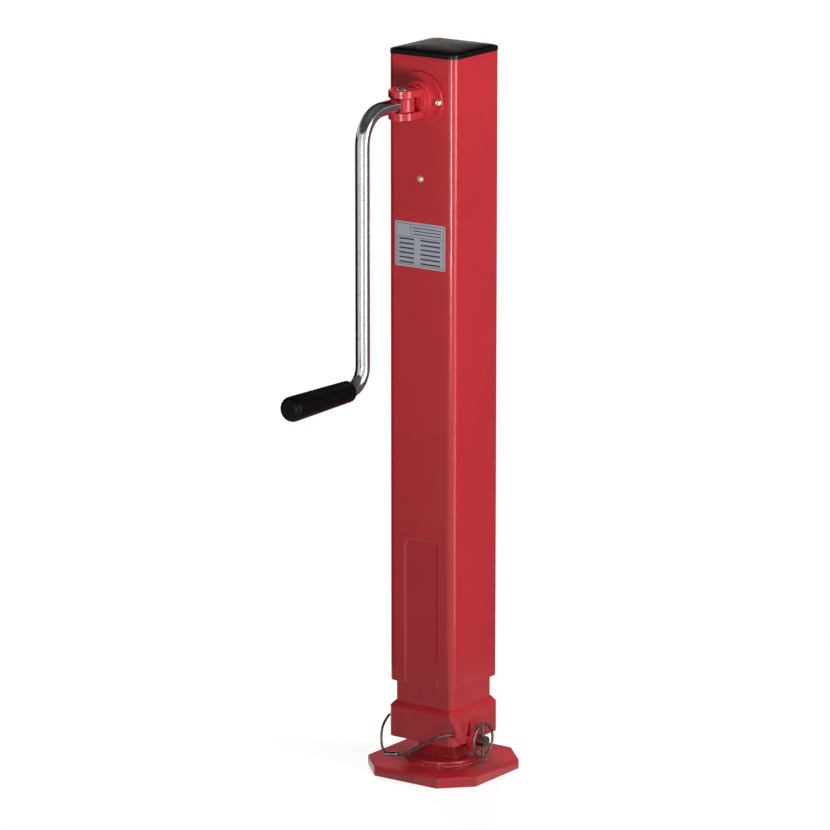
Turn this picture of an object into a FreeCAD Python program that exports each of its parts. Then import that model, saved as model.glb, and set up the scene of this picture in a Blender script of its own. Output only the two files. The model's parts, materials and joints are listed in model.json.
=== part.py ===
import FreeCAD, Part
import math
import os
import Sketcher

# A side-crank screw jack: a square outer tube, a telescoping leg on a pivoting foot plate,
# a spindle driven through a bevel gear pair, and a folding crank handle.
# Millimetres. The foot plate stands on Z = 0, the tube's axis is the Z axis,
# and the crank comes out of the tube's -Y face.

Vector = FreeCAD.Vector

# Driving dimensions, in millimetres unless the comment says otherwise
SIZES = {
    "tube_width": 90,  # square outer tube, outside
    "tube_wall": 3,  # outer tube wall
    "tube_corner": 9,  # outer tube corner radius, outside
    "tube_length": 720,  # outer tube length
    "panel_width": 46,  # pressed panel, across its outer edges
    "panel_height": 171,  # pressed panel, up from the tube's lower end
    "panel_corner": 10,  # pressed panel corner radius
    "panel_slope": 60,  # pressed panel wall, degrees off square
    "leg_space": 2,  # space between inner and outer tube, each side
    "guide_gap": 0.4,  # gap between the leg and what guides it
    "strip_length": 44,  # glide strip length
    "strip_drop": 16,  # glide strip below the inner tube's top
    "strip_width": 48,  # glide strip width on the plain sides
    "narrow_strip": 6,  # glide strip width beside a panel's path
    "guide_inset": 3,  # lower guide above the outer tube's end
    "cap_rim": 5,  # top cap rim height
    "cap_overhang": 0.6,  # top cap rim past the tube's face
    "cap_crown": 3,  # top cap crown rise
    "cap_crown_inset": 22,  # top cap crown in from the rim
    "plug_depth": 14,  # top cap plug depth
    "plug_wall": 2.5,  # top cap plug wall
    "plug_gap": 0.3,  # top cap plug gap in the tube
    "inner_wall": 4,  # inner tube wall
    "inner_corner": 7,  # inner tube corner radius, outside
    "stroke": 400,  # leg travel
    "collar_bottom": 41,  # collar lower edge above the ground
    "collar_height": 40.5,  # collar height
    "collar_slope": 5.5,  # collar upper edge, sloped off at 45 degrees
    "collar_wall": 6,  # collar wall
    "collar_corner": 10,  # collar corner radius
    "collar_space": 25.5,  # bare inner tube above the collar, leg in
    "collar_hold": 24,  # inner tube held in the collar
    "ear_radius": 14,  # collar ear radius about the foot pin
    "boss_radius": 11,  # boss radius round the foot pin
    "boss_length": 4,  # boss length out from the ear
    "slot_width": 8,  # wedge-shaped slot beside each boss, width at its foot
    "slot_height": 15,  # wedge-shaped slot, height
    "slot_rise": 7,  # wedge-shaped slot above the collar's lower edge
    "slot_gap": 1,  # wedge-shaped slot ahead of the boss
    "foot_pin_height": 40,  # foot pin axis above the ground
    "foot_pin_radius": 6,  # foot pin radius
    "foot_pin_tail": 10,  # foot pin past the boss
    "foot_pin_head_radius": 9,  # foot pin head radius
    "foot_pin_head": 5,  # foot pin head thickness
    "running_gap": 0.05,  # running clearance, radial
    "side_gap": 0.3,  # side clearance of parts on a pin
    "spacer_radius": 10,  # pin spacer radius
    "linch_radius": 2,  # linch pin radius
    "linch_ring_radius": 19,  # linch pin ring radius
    "linch_wire_radius": 1.5,  # linch pin ring wire radius
    "plate_width": 150,  # square foot plate side
    "plate_thickness": 12,  # foot plate thickness
    "plate_cut": 32,  # foot plate corner cut
    "plate_edge": 2,  # foot plate rounded upper edge
    "disc_radius": 41,  # foot disc radius
    "disc_height": 6,  # foot disc height
    "disc_round": 3,  # foot disc rounded rim
    "hole_inset": 6,  # foot disc holes, centres in from the rim
    "hole_radius": 4.5,  # foot disc hole radius
    "hole_depth": 4.8,  # foot disc hole depth
    "hole_angle": -28,  # foot disc hole, degrees from X
    "hole_count": 4,  # foot disc hole count
    "tongue_width": 50,  # foot tongue along the pin
    "tongue_depth": 28,  # foot tongue across the pin
    "keeper_bed": 4,  # wire keeper root, depth that is shaped to the collar's corner
    "keeper_width": 14,  # wire keeper width at its root
    "keeper_height": 23,  # wire keeper height at its root
    "keeper_reach": 14,  # wire keeper reach out of the collar's corner
    "nose_width": 8,  # wire keeper nose width
    "nose_height": 10,  # wire keeper nose height
    "nose_lean": 5,  # wire keeper nose, sideways from its root
    "nose_round": 2.5,  # wire keeper rounded edges
    "eye_radius": 2.4,  # wire keeper eye radius
    "eye_reach": 8,  # wire keeper eye out from the collar's corner
    "eye_rise": 5,  # wire keeper eye above its underside
    "wire_radius": 1.4,  # retaining wire radius
    "wire_rise": 20,  # retaining wire, up and forward from the pin's head
    "wire_bow": 4,  # retaining wire, sideways swing of its bends
    "wire_stand_off": 15,  # retaining wire, out from the collar's front
    "wire_dip": 18,  # retaining wire, lowest bend below the foot pin
    "shaft_drop": 48,  # crank shaft axis below the tube's top
    "shaft_radius": 10,  # crank shaft radius in the flange
    "inner_shaft_radius": 8,  # crank shaft radius inside the tube
    "shaft_end_gap": 3,  # crank shaft end short of the back wall
    "flange_radius": 31.5,  # bearing flange radius
    "flange_thickness": 4,  # bearing flange thickness
    "head_gap": 0.8,  # gap between a flange screw's head and the flange boss
    "boss_taper": 1.5,  # bearing flange boss, taper of its radius from root to end
    "flange_boss_length": 12,  # bearing flange boss length from the tube
    "spigot_wall": 2,  # bearing flange spigot wall round the bush
    "fit_gap": 0.1,  # fit of a spigot in its hole, radial
    "spigot_tail": 1,  # bearing flange spigot past the tube wall
    "bush_wall": 3,  # bush wall
    "rear_bush_radius": 17,  # rear bush housing radius
    "rear_bush_length": 9,  # rear bush housing length
    "screw_inset": 5,  # flange screw centres in from the flange's rim
    "screw_radius": 2.5,  # screw shank radius
    "screw_head_radius": 4.2,  # screw head radius
    "screw_head_height": 3.2,  # screw head height
    "screw_top_radius": 2.5,  # screw head radius at its flat top
    "screw_tail": 6,  # screw shank past the tube wall
    "fork_disc_radius": 18.5,  # fork disc radius
    "fork_disc_thickness": 6.6,  # fork disc thickness
    "fork_disc_gap": 0.4,  # gap between flange and fork disc
    "fork_width": 31,  # fork width
    "fork_height": 32,  # fork height
    "fork_reach": 16,  # fork pin axis out from the fork disc
    "fork_gap": 0.4,  # gap between the crank's knuckle and the fork, each side
    "knuckle_radius": 13.5,  # crank knuckle radius about the fold pin
    "knuckle_flat": 10.5,  # crank knuckle flat that the rod is welded to, out from the fold pin
    "knuckle_round": 1.5,  # crank knuckle rounded rims
    "fold_pin_radius": 4,  # fold pin radius
    "fold_head_radius": 6,  # fold pin head radius
    "fold_head": 3,  # fold pin head thickness
    "rod_radius": 8,  # crank rod radius
    "arm_reach": 155,  # crank arm out from the tube's axis
    "crank_throw": 304,  # crank throw
    "upper_bend": 36,  # crank rod upper bend radius
    "lower_bend": 24,  # crank rod lower bend radius
    "grip_start": 3,  # grip start past the lower bend
    "grip_length": 111,  # grip length
    "grip_inner_radius": 12,  # grip radius at the arm
    "grip_outer_radius": 14,  # grip radius at its outer end
    "grip_round": 8,  # grip rounded outer end
    "grip_land": 2,  # grip straight stretch before its rounded end
    "grip_inner_round": 2,  # grip rounded inner end
    "grip_end_wall": 7,  # grip closed end thickness
    "grip_end_gap": 1,  # crank rod end gap in the grip
    "pinion_gap": 0.6,  # gap between the pinion's hub and the flange's bush
    "pinion_teeth": 16,  # bevel pinion teeth
    "gear_teeth": 24,  # bevel gear teeth
    "tooth_face": 11,  # bevel tooth face width
    "pressure_angle": 22.5,  # bevel tooth pressure angle, degrees
    "tooth_play": 0.45,  # bevel tooth play at the pitch circle
    "tip_height": 0.85,  # bevel tooth tip height in modules
    "root_depth": 1.15,  # bevel tooth root depth in modules
    "gear_rim": 4,  # bevel gear rim behind the teeth
    "gear_hub_radius": 18,  # bevel gear hub radius
    "gear_hub_length": 12,  # bevel gear hub length
    "pinion_hub_radius": 14,  # bevel pinion hub radius
    "pinion_hub_length": 5,  # bevel pinion hub length
    "bearing_drop": 137,  # bearing plate middle below the tube's top
    "bearing_thickness": 14,  # bearing plate thickness
    "spindle_radius": 15,  # spindle thread radius
    "journal_radius": 12.5,  # spindle journal radius
    "seat_step": 2.5,  # spindle gear seat, step in from the journal
    "seat_tail": 4,  # spindle end above the gear
    "shoulder_radius": 22,  # spindle shoulder radius
    "shoulder_height": 8,  # spindle shoulder height
    "thrust_radius": 24,  # thrust bearing outside radius
    "washer_thickness": 3.5,  # thrust washer thickness
    "ball_radius": 3.3,  # thrust ball radius
    "ball_play": 0.1,  # thrust ball play, each side
    "ball_count": 10,  # thrust ball count
    "cage_thickness": 2,  # thrust cage thickness
    "ring_radius": 14,  # gear retaining ring radius
    "ring_thickness": 1.8,  # gear retaining ring thickness
    "leg_headroom": 5,  # inner tube top below the spindle shoulder
    "nut_flange": 12,  # spindle nut flange thickness
    "nut_length": 36,  # spindle nut length
    "nut_radius": 25,  # spindle nut barrel radius
    "nut_gap": 0.1,  # spindle nut gap in the inner tube
    "nut_pin_radius": 4,  # nut pin radius
    "nut_pin_depth": 10,  # nut pin depth in the nut
    "stop_height": 12,  # stop ring height
    "stop_radius": 22,  # stop ring radius
    "stop_gap": 2,  # stop ring short of the nut, leg out
    "spindle_tail": 4,  # spindle past the stop ring
    "stop_pin_radius": 2.5,  # stop pin radius
    "pinion_pin_radius": 1.8,  # pinion pin radius
    "gear_pin_radius": 2.5,  # gear pin radius
}

# How far a through cut runs, as a share of the thickness that it goes through
CUT_SHARE = 1.5
# The share of the shorter run that each bend of the retaining wire takes up
BEND_SHARE = 0.45

SKETCH_AXES = {"x": "H_Axis", "y": "V_Axis", "z": "V_Axis"}
SKETCH_PLANES = {"x": "XY_Plane", "y": "XY_Plane", "z": "XZ_Plane"}

doc = FreeCAD.newDocument("screw_jack")
nodes = {}


def make_sheet():
    """Writes the driving dimensions to a spreadsheet, one row each."""
    made = doc.addObject("Spreadsheet::Sheet", "dims")
    for row, (alias, value) in enumerate(SIZES.items(), start=1):
        made.set(f"A{row}", alias)
        made.set(f"B{row}", str(value))
        made.setAlias(f"B{row}", alias)
    doc.recompute()
    return made


sheet = make_sheet()


def number(expression):
    """What an expression on the sheet comes to."""
    return float(sheet.evalExpression(expression))


# Places that follow from the driving dimensions, as expressions
FACE = "(dims.tube_width / 2)"
INSIDE = "(dims.tube_width / 2 - dims.tube_wall)"
LEG_FACE = f"({INSIDE} - dims.leg_space)"
LEG_INSIDE = f"({LEG_FACE} - dims.inner_wall)"
COLLAR_FACE = f"({LEG_FACE} + dims.collar_wall)"
COLLAR_TOP = "(dims.collar_bottom + dims.collar_height)"
LEG_BOTTOM = f"({COLLAR_TOP} - dims.collar_hold)"
TUBE_BOTTOM = f"({COLLAR_TOP} + dims.collar_space)"
TUBE_TOP = f"({TUBE_BOTTOM} + dims.tube_length)"
SHAFT_Z = f"({TUBE_TOP} - dims.shaft_drop)"
PANEL_DEPTH = "(dims.leg_space - dims.guide_gap)"
BOSS_FACE = f"({COLLAR_FACE} + dims.boss_length)"
LINCH_X = f"({BOSS_FACE} + dims.foot_pin_tail / 2)"
SPIGOT_RADIUS = "(dims.shaft_radius + dims.bush_wall + dims.spigot_wall)"
SCREW_PLACE = "(dims.flange_radius - dims.screw_inset)"
BOSS_ROOT = f"({SCREW_PLACE} - dims.screw_head_radius - dims.head_gap)"
FLANGE_END = f"({FACE} + dims.flange_boss_length)"
FORK_START = f"({FLANGE_END} + dims.fork_disc_gap)"
FORK_FACE = f"({FORK_START} + dims.fork_disc_thickness)"
FOLD_Y = f"({FORK_FACE} + dims.fork_reach)"
KNUCKLE_FACE = f"({FOLD_Y} + dims.knuckle_flat)"
GRIP_Z = f"({SHAFT_Z} - dims.crank_throw)"
GRIP_NEAR = "(dims.arm_reach + dims.lower_bend + dims.grip_start)"
GRIP_FAR = f"({GRIP_NEAR} + dims.grip_length)"
GRIP_FLOOR = f"({GRIP_FAR} - dims.grip_end_wall)"
PINION_END = f"({INSIDE} - dims.spigot_tail - dims.pinion_gap)"
PINION_BACK = f"({PINION_END} - dims.pinion_hub_length)"
TEETH_SLANT = "sqrt(dims.pinion_teeth ^ 2 + dims.gear_teeth ^ 2)"
PINION_SINE = f"(dims.pinion_teeth / {TEETH_SLANT})"
GEAR_SINE = f"(dims.gear_teeth / {TEETH_SLANT})"
MODULE = f"({PINION_BACK} / (dims.gear_teeth / 2 + dims.root_depth * {PINION_SINE}))"
PINION_PITCH = f"({MODULE} * dims.pinion_teeth / 2)"
CONE = f"({MODULE} * {TEETH_SLANT} / 2)"
ROOT = f"(dims.root_depth * {MODULE})"
BEARING_Z = f"({TUBE_TOP} - dims.bearing_drop)"
BEARING_UNDER = f"({BEARING_Z} - dims.bearing_thickness / 2)"
BEARING_OVER = f"({BEARING_Z} + dims.bearing_thickness / 2)"
BALL_CIRCLE = "((dims.journal_radius + dims.thrust_radius) / 2)"
BALL_SPACE = "(2 * dims.ball_radius + 2 * dims.ball_play)"
SEAT_RADIUS = "(dims.journal_radius - dims.seat_step)"
SHOULDER_TOP = f"({BEARING_UNDER} - 2 * dims.washer_thickness - {BALL_SPACE})"
SHOULDER_UNDER = f"({SHOULDER_TOP} - dims.shoulder_height)"
LEG_TOP = f"({SHOULDER_UNDER} - dims.leg_headroom)"
NUT_BOTTOM = f"({LEG_TOP} - dims.nut_length)"
STOP_TOP = f"({NUT_BOTTOM} - dims.stroke - dims.stop_gap)"
SPINDLE_BOTTOM = f"({STOP_TOP} - dims.stop_height - dims.spindle_tail)"
PIN_Z = "dims.foot_pin_height"
COLLAR_CORNER = f"(sqrt(2) * ({COLLAR_FACE} - dims.collar_corner) + dims.collar_corner)"
KEEPER_TOP = f"({COLLAR_TOP} - dims.collar_slope)"
KEEPER_UNDER = f"({KEEPER_TOP} - dims.keeper_height)"
EYE_OUT = f"({COLLAR_CORNER} + dims.eye_reach)"
EYE_Z = f"({KEEPER_UNDER} + dims.eye_rise)"
DISC_TOP = "(dims.plate_thickness + dims.disc_height)"
HOLE_CIRCLE = "(dims.disc_radius - dims.hole_inset)"
PINION_PIN_Y = f"-({PINION_BACK} + dims.pinion_hub_length / 2)"
GEAR_ROOT_DROP = f"({PINION_PITCH} + {ROOT} * {GEAR_SINE})"
GEAR_UNDER = f"({SHAFT_Z} - {GEAR_ROOT_DROP} - dims.gear_rim - dims.gear_hub_length)"
GEAR_PIN_Z = f"({GEAR_UNDER} + dims.gear_hub_length / 2)"
GEAR_OVER = f"({SHAFT_Z} - {GEAR_ROOT_DROP} * (1 - dims.tooth_face / {CONE}))"


def keep(name, thing):
    """Names a finished sub-part; its label is its node's name."""
    thing.Label = name
    nodes[name] = thing
    return thing


def new_body(name):
    """An empty body with the working name of its sub-part."""
    return doc.addObject("PartDesign::Body", f"{name}_body")


def new_sketch(body, name, role, offset="0"):
    """A sketch on one of the body's own origin planes, moved along that plane's normal."""
    made = body.newObject("Sketcher::SketchObject", f"{body.Name}_{name}")
    plane = next(part for part in body.Origin.OriginFeatures if part.Role == role)
    made.AttachmentSupport = [(plane, "")]
    made.MapMode = "FlatFace"
    made.setExpression("AttachmentOffset.Base.z", offset)
    return made


def bind(sketch, constraint, expression):
    """Adds a constraint whose value is an expression on the sheet."""
    index = sketch.addConstraint(constraint)
    sketch.setExpression(f"Constraints[{index}]", expression)


def pin_point(sketch, shape, point, across, up):
    """Ties one point of a sketch to expressions for its two coordinates."""
    for kind, expression, axis in (("DistanceX", across, -2), ("DistanceY", up, -1)):
        value = number(expression)
        if expression == "0":
            sketch.addConstraint(Sketcher.Constraint("PointOnObject", shape, point, axis))
        elif value > 0:
            bind(sketch, Sketcher.Constraint(kind, -1, 1, shape, point, value), expression)
        else:
            bind(sketch, Sketcher.Constraint(kind, shape, point, -1, 1, -value), f"-({expression})")


def outline(sketch, corners):
    """A closed outline of straight edges through corners given as expressions."""
    places = [Vector(number(across), number(up), 0) for across, up in corners]
    count = len(places)
    first = sketch.GeometryCount
    for index in range(count):
        sketch.addGeometry(Part.LineSegment(places[index], places[(index + 1) % count]))
    for index, (across, up) in enumerate(corners):
        after = first + (index + 1) % count
        sketch.addConstraint(Sketcher.Constraint("Coincident", first + index, 2, after, 1))
        pin_point(sketch, first + index, 1, across, up)


def circle(sketch, across, up, radius):
    """A circle bound to expressions."""
    place = Vector(number(across), number(up), 0)
    index = sketch.addGeometry(Part.Circle(place, Vector(0, 0, 1), number(radius)))
    pin_point(sketch, index, 3, across, up)
    bind(sketch, Sketcher.Constraint("Radius", index, number(radius)), radius)


def rounded_square(sketch, width, radius):
    """A centred square with rounded corners, bound to expressions."""
    half = number(width) / 2
    round_off = number(radius)
    flat = half - round_off
    first = sketch.GeometryCount
    ends = [
        (Vector(-flat, -half, 0), Vector(flat, -half, 0)),
        (Vector(half, -flat, 0), Vector(half, flat, 0)),
        (Vector(flat, half, 0), Vector(-flat, half, 0)),
        (Vector(-half, flat, 0), Vector(-half, -flat, 0)),
    ]
    centres = [Vector(flat, -flat, 0), Vector(flat, flat, 0), Vector(-flat, flat, 0), Vector(-flat, -flat, 0)]
    for start, end in ends:
        sketch.addGeometry(Part.LineSegment(start, end))
    for index, centre in enumerate(centres):
        turn = (index - 1) * math.pi / 2
        ring = Part.Circle(centre, Vector(0, 0, 1), round_off)
        sketch.addGeometry(Part.ArcOfCircle(ring, turn, turn + math.pi / 2))
    for index in range(4):
        arc = first + 4 + index
        sketch.addConstraint(Sketcher.Constraint("Tangent", first + index, 2, arc, 1))
        sketch.addConstraint(Sketcher.Constraint("Tangent", arc, 2, first + (index + 1) % 4, 1))
        level = "Horizontal" if index % 2 == 0 else "Vertical"
        sketch.addConstraint(Sketcher.Constraint(level, first + index))
        if index:
            sketch.addConstraint(Sketcher.Constraint("Equal", first + 4, arc))
    sketch.addConstraint(Sketcher.Constraint("Symmetric", first + 4, 3, first + 6, 3, -1, 1))
    bind(sketch, Sketcher.Constraint("Radius", first + 4, round_off), radius)
    bind(sketch, Sketcher.Constraint("DistanceX", first + 3, 1, first + 1, 1, 2 * half), width)
    bind(sketch, Sketcher.Constraint("DistanceY", first, 1, first + 2, 1, 2 * half), width)


def tombstone(sketch, half_width, foot, centre):
    """An upright outline with a half-round end: straight sides from foot to the round end's centre."""
    reach = number(half_width)
    low = number(foot)
    high = number(centre)
    side = 1 if high > low else -1
    base = sketch.addGeometry(Part.LineSegment(Vector(-reach, low, 0), Vector(reach, low, 0)))
    right = sketch.addGeometry(Part.LineSegment(Vector(reach, low, 0), Vector(reach, high, 0)))
    start, end = (0, math.pi) if side > 0 else (math.pi, 2 * math.pi)
    ring = Part.Circle(Vector(0, high, 0), Vector(0, 0, 1), reach)
    top = sketch.addGeometry(Part.ArcOfCircle(ring, start, end))
    left = sketch.addGeometry(Part.LineSegment(Vector(-reach, high, 0), Vector(-reach, low, 0)))
    arc_right, arc_left = (1, 2) if side > 0 else (2, 1)
    sketch.addConstraint(Sketcher.Constraint("Coincident", base, 2, right, 1))
    sketch.addConstraint(Sketcher.Constraint("Tangent", right, 2, top, arc_right))
    sketch.addConstraint(Sketcher.Constraint("Tangent", left, 1, top, arc_left))
    sketch.addConstraint(Sketcher.Constraint("Coincident", left, 2, base, 1))
    sketch.addConstraint(Sketcher.Constraint("Horizontal", base))
    sketch.addConstraint(Sketcher.Constraint("Vertical", right))
    pin_point(sketch, top, 3, "0", centre)
    pin_point(sketch, base, 1, f"-({half_width})", foot)


def pad(body, sketch, name, length, middle=False, backward=False, taper="0"):
    """A pad of a sketch; its length and taper are expressions."""
    made = body.newObject("PartDesign::Pad", f"{body.Name}_{name}")
    made.Profile = sketch
    made.setExpression("Length", length)
    made.setExpression("TaperAngle", taper)
    made.Midplane = middle
    made.Reversed = backward
    return made


def pocket(body, sketch, name, length, middle=False, backward=False, taper="0"):
    """A pocket of a sketch; its length and taper are expressions. It has to remove material."""
    doc.recompute()
    before = body.Shape.Volume
    made = body.newObject("PartDesign::Pocket", f"{body.Name}_{name}")
    made.Profile = sketch
    made.setExpression("Length", length)
    made.setExpression("TaperAngle", taper)
    made.Midplane = middle
    made.Reversed = backward
    doc.recompute()
    if body.Shape.Volume >= before:
        raise RuntimeError(f"{made.Name} removes nothing")
    return made


def revolve(body, sketch, name, axis):
    """A full turn of a sketch about one of its own axes."""
    made = body.newObject("PartDesign::Revolution", f"{body.Name}_{name}")
    made.Profile = sketch
    made.ReferenceAxis = (sketch, [axis])
    made.Angle = 360
    return made


def turned(name, axis, profile, offset="0"):
    """A turned piece: corners are (radius, distance along the axis), the axis lies at an offset in Z."""
    body = new_body(name)
    sketch = new_sketch(body, "profile", SKETCH_PLANES[axis], offset)
    corners = [(along, radius) if axis == "x" else (radius, along) for radius, along in profile]
    outline(sketch, corners)
    revolve(body, sketch, "turn", SKETCH_AXES[axis])
    doc.recompute()
    return body


def ring_profile(inner, outer, start, end):
    """Corners of a plain ring for turned()."""
    return [(inner, start), (outer, start), (outer, end), (inner, end)]


def dress_edges(body, kind, name, chosen):
    """A fillet or chamfer on the edges of the body's tip for which chosen(edge) is true."""
    doc.recompute()
    base = body.Tip
    names = [f"Edge{index}" for index, edge in enumerate(base.Shape.Edges, start=1) if chosen(edge)]
    if not names:
        raise RuntimeError(f"{body.Name}: no edge for {name}")
    made = body.newObject(f"PartDesign::{kind}", f"{body.Name}_{name}")
    made.Base = (base, names)
    return made


def fillet(body, name, radius, chosen):
    """Rounded edges of the body's tip; the radius is an expression."""
    dress_edges(body, "Fillet", name, chosen).setExpression("Radius", radius)
    doc.recompute()


def chamfer(body, name, size, chosen):
    """Edges of the body's tip sloped off at 45 degrees; the size is an expression."""
    dress_edges(body, "Chamfer", name, chosen).setExpression("Size", size)
    doc.recompute()


def mirrored(body, name, features, role):
    """The named features repeated on the other side of one of the body's origin planes."""
    plane = next(part for part in body.Origin.OriginFeatures if part.Role == role)
    made = body.newObject("PartDesign::Mirrored", f"{body.Name}_{name}")
    made.Originals = features
    made.MirrorPlane = (plane, [""])
    body.Tip = made
    doc.recompute()
    return made


def drill(body, name, role, offset, places, depth, middle=False, backward=False):
    """Round holes: places are (across, up, radius) on a plane of the body."""
    sketch = new_sketch(body, f"{name}_sketch", role, offset)
    for across, up, radius in places:
        circle(sketch, across, up, radius)
    return pocket(body, sketch, name, depth, middle, backward)


def block(name, lengths, corner):
    """A box whose three lengths and low corner are expressions."""
    made = doc.addObject("Part::Box", name)
    for side, length in zip(("Length", "Width", "Height"), lengths):
        made.setExpression(side, length)
    for axis, place in zip("xyz", corner):
        made.setExpression(f"Placement.Base.{axis}", place)
    return made


def rod(name, radius, length, direction, base):
    """A cylinder from a base point along a direction; radius, length and base are expressions."""
    made = doc.addObject("Part::Cylinder", name)
    made.setExpression("Radius", radius)
    made.setExpression("Height", length)
    made.Placement = FreeCAD.Placement(Vector(0, 0, 0), FreeCAD.Rotation(Vector(0, 0, 1), direction))
    for axis, place in zip("xyz", base):
        made.setExpression(f"Placement.Base.{axis}", place)
    return made


def group(name, parts):
    """Like pieces that share one node as separate solids."""
    made = doc.addObject("Part::Compound", name)
    made.Links = parts
    return keep(name, made)


def square_tube(name, width, radius, inner_width, inner_radius, start, length):
    """A body padded from a square ring with rounded corners."""
    body = new_body(name)
    sketch = new_sketch(body, "section", "XY_Plane", start)
    rounded_square(sketch, width, radius)
    rounded_square(sketch, inner_width, inner_radius)
    pad(body, sketch, "wall", length)
    doc.recompute()
    return body


def panel_outline(sketch, half_width, foot, top, radius):
    """A pressed panel's outline: square at its foot, with two rounded corners at its top."""
    reach, low, high, turn = (number(part) for part in (half_width, foot, top, radius))
    normal = Vector(0, 0, 1)
    base = sketch.addGeometry(Part.LineSegment(Vector(-reach, low, 0), Vector(reach, low, 0)))
    right = sketch.addGeometry(Part.LineSegment(Vector(reach, low, 0), Vector(reach, high - turn, 0)))
    right_ring = Part.Circle(Vector(reach - turn, high - turn, 0), normal, turn)
    right_arc = sketch.addGeometry(Part.ArcOfCircle(right_ring, 0, math.pi / 2))
    head = sketch.addGeometry(Part.LineSegment(Vector(reach - turn, high, 0), Vector(turn - reach, high, 0)))
    left_ring = Part.Circle(Vector(turn - reach, high - turn, 0), normal, turn)
    left_arc = sketch.addGeometry(Part.ArcOfCircle(left_ring, math.pi / 2, math.pi))
    left = sketch.addGeometry(Part.LineSegment(Vector(-reach, high - turn, 0), Vector(-reach, low, 0)))
    for before, after in ((right, right_arc), (right_arc, head), (head, left_arc), (left_arc, left)):
        sketch.addConstraint(Sketcher.Constraint("Tangent", before, 2, after, 1))
    sketch.addConstraint(Sketcher.Constraint("Coincident", base, 2, right, 1))
    sketch.addConstraint(Sketcher.Constraint("Coincident", left, 2, base, 1))
    for line, level in ((base, "Horizontal"), (head, "Horizontal"), (right, "Vertical"), (left, "Vertical")):
        sketch.addConstraint(Sketcher.Constraint(level, line))
    sketch.addConstraint(Sketcher.Constraint("Equal", right_arc, left_arc))
    bind(sketch, Sketcher.Constraint("Radius", right_arc, turn), radius)
    bind(sketch, Sketcher.Constraint("DistanceY", -1, 1, head, 1, high), top)
    pin_point(sketch, base, 1, f"-({half_width})", foot)
    bind(sketch, Sketcher.Constraint("DistanceX", -1, 1, base, 2, reach), half_width)


def make_outer_tube():
    """Square tube with a pressed guide panel low on its front and back, and the bearing holes."""
    body = square_tube("outer_tube", "dims.tube_width", "dims.tube_corner", f"2 * {INSIDE}",
                       "dims.tube_corner - dims.tube_wall", TUBE_BOTTOM, "dims.tube_length")
    top = f"({TUBE_BOTTOM} + dims.panel_height)"
    bulge = new_sketch(body, "bulge_outline", "XZ_Plane", INSIDE)
    panel_outline(bulge, "dims.panel_width / 2", TUBE_BOTTOM, top, "dims.panel_corner")
    bulge_pad = pad(body, bulge, "bulge", PANEL_DEPTH, backward=True, taper="-dims.panel_slope")
    recess = new_sketch(body, "recess_outline", "XZ_Plane", FACE)
    below = f"({TUBE_BOTTOM} - dims.panel_corner)"
    panel_outline(recess, "dims.panel_width / 2", below, top, "dims.panel_corner")
    recess_cut = pocket(body, recess, "recess", PANEL_DEPTH, taper="-dims.panel_slope")
    mirrored(body, "back_panel", [bulge_pad, recess_cut], "XZ_Plane")
    screw = "(dims.screw_radius + dims.fit_gap)"
    front = [
        ("0", SHAFT_Z, f"({SPIGOT_RADIUS} + dims.fit_gap)"),
        (SCREW_PLACE, SHAFT_Z, screw),
        (f"-{SCREW_PLACE}", SHAFT_Z, screw),
        ("0", BEARING_Z, screw),
    ]
    drill(body, "front_holes", "XZ_Plane", FACE, front, f"{CUT_SHARE} * dims.tube_wall")
    keep("outer_tube", body)


def make_top_cap():
    """Push-in plastic cap with a low crown and a hollow plug."""
    body = new_body("top_cap")
    width = "(dims.tube_width + 2 * dims.cap_overhang)"
    corner = "(dims.tube_corner + dims.cap_overhang)"
    rim = new_sketch(body, "rim", "XY_Plane", TUBE_TOP)
    rounded_square(rim, width, corner)
    pad(body, rim, "rim_pad", "dims.cap_rim")
    rim_top = f"({TUBE_TOP} + dims.cap_rim)"
    crown_base = new_sketch(body, "crown_base", "XY_Plane", rim_top)
    rounded_square(crown_base, width, corner)
    crown_top = new_sketch(body, "crown_top", "XY_Plane", f"({rim_top} + dims.cap_crown)")
    rounded_square(crown_top, f"({width} - 2 * dims.cap_crown_inset)", corner)
    crown = body.newObject("PartDesign::AdditiveLoft", "top_cap_crown")
    crown.Profile = crown_base
    crown.Sections = [crown_top]
    plug = new_sketch(body, "plug", "XY_Plane", TUBE_TOP)
    plug_width = f"(2 * {INSIDE} - 2 * dims.plug_gap)"
    plug_corner = "(dims.tube_corner - dims.tube_wall - dims.plug_gap)"
    rounded_square(plug, plug_width, plug_corner)
    rounded_square(plug, f"({plug_width} - 2 * dims.plug_wall)", f"({plug_corner} - dims.plug_wall)")
    pad(body, plug, "plug_pad", "dims.plug_depth", backward=True)
    doc.recompute()
    keep("top_cap", body)


def make_guides():
    """Plastic glide strips on the leg's upper end, and two fixed guides in the outer tube's lower end."""
    thick = PANEL_DEPTH
    low = f"({LEG_TOP} - dims.strip_drop - dims.strip_length)"
    wide = "dims.strip_width"
    narrow = "dims.narrow_strip"
    flat = f"({LEG_FACE} - dims.inner_corner)"
    side = f"-{wide} / 2"
    flat_size = (thick, wide, "dims.strip_length")
    strips = [
        block("strip_right", flat_size, (LEG_FACE, side, low)),
        block("strip_left", flat_size, (f"-{LEG_FACE} - {thick}", side, low)),
    ]
    for end, across in (("left", f"-{flat}"), ("right", f"{flat} - {narrow}")):
        for wall, deep in (("front", f"-{LEG_FACE} - {thick}"), ("back", LEG_FACE)):
            name = f"strip_{wall}_{end}"
            strips.append(block(name, (narrow, thick, "dims.strip_length"), (across, deep, low)))
    group("glide_strips", strips)
    foot = f"({TUBE_BOTTOM} + dims.guide_inset)"
    guides = [
        block("guide_right", flat_size, (f"{INSIDE} - {thick}", side, foot)),
        block("guide_left", flat_size, (f"-{INSIDE}", side, foot)),
    ]
    group("lower_guides", guides)


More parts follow.
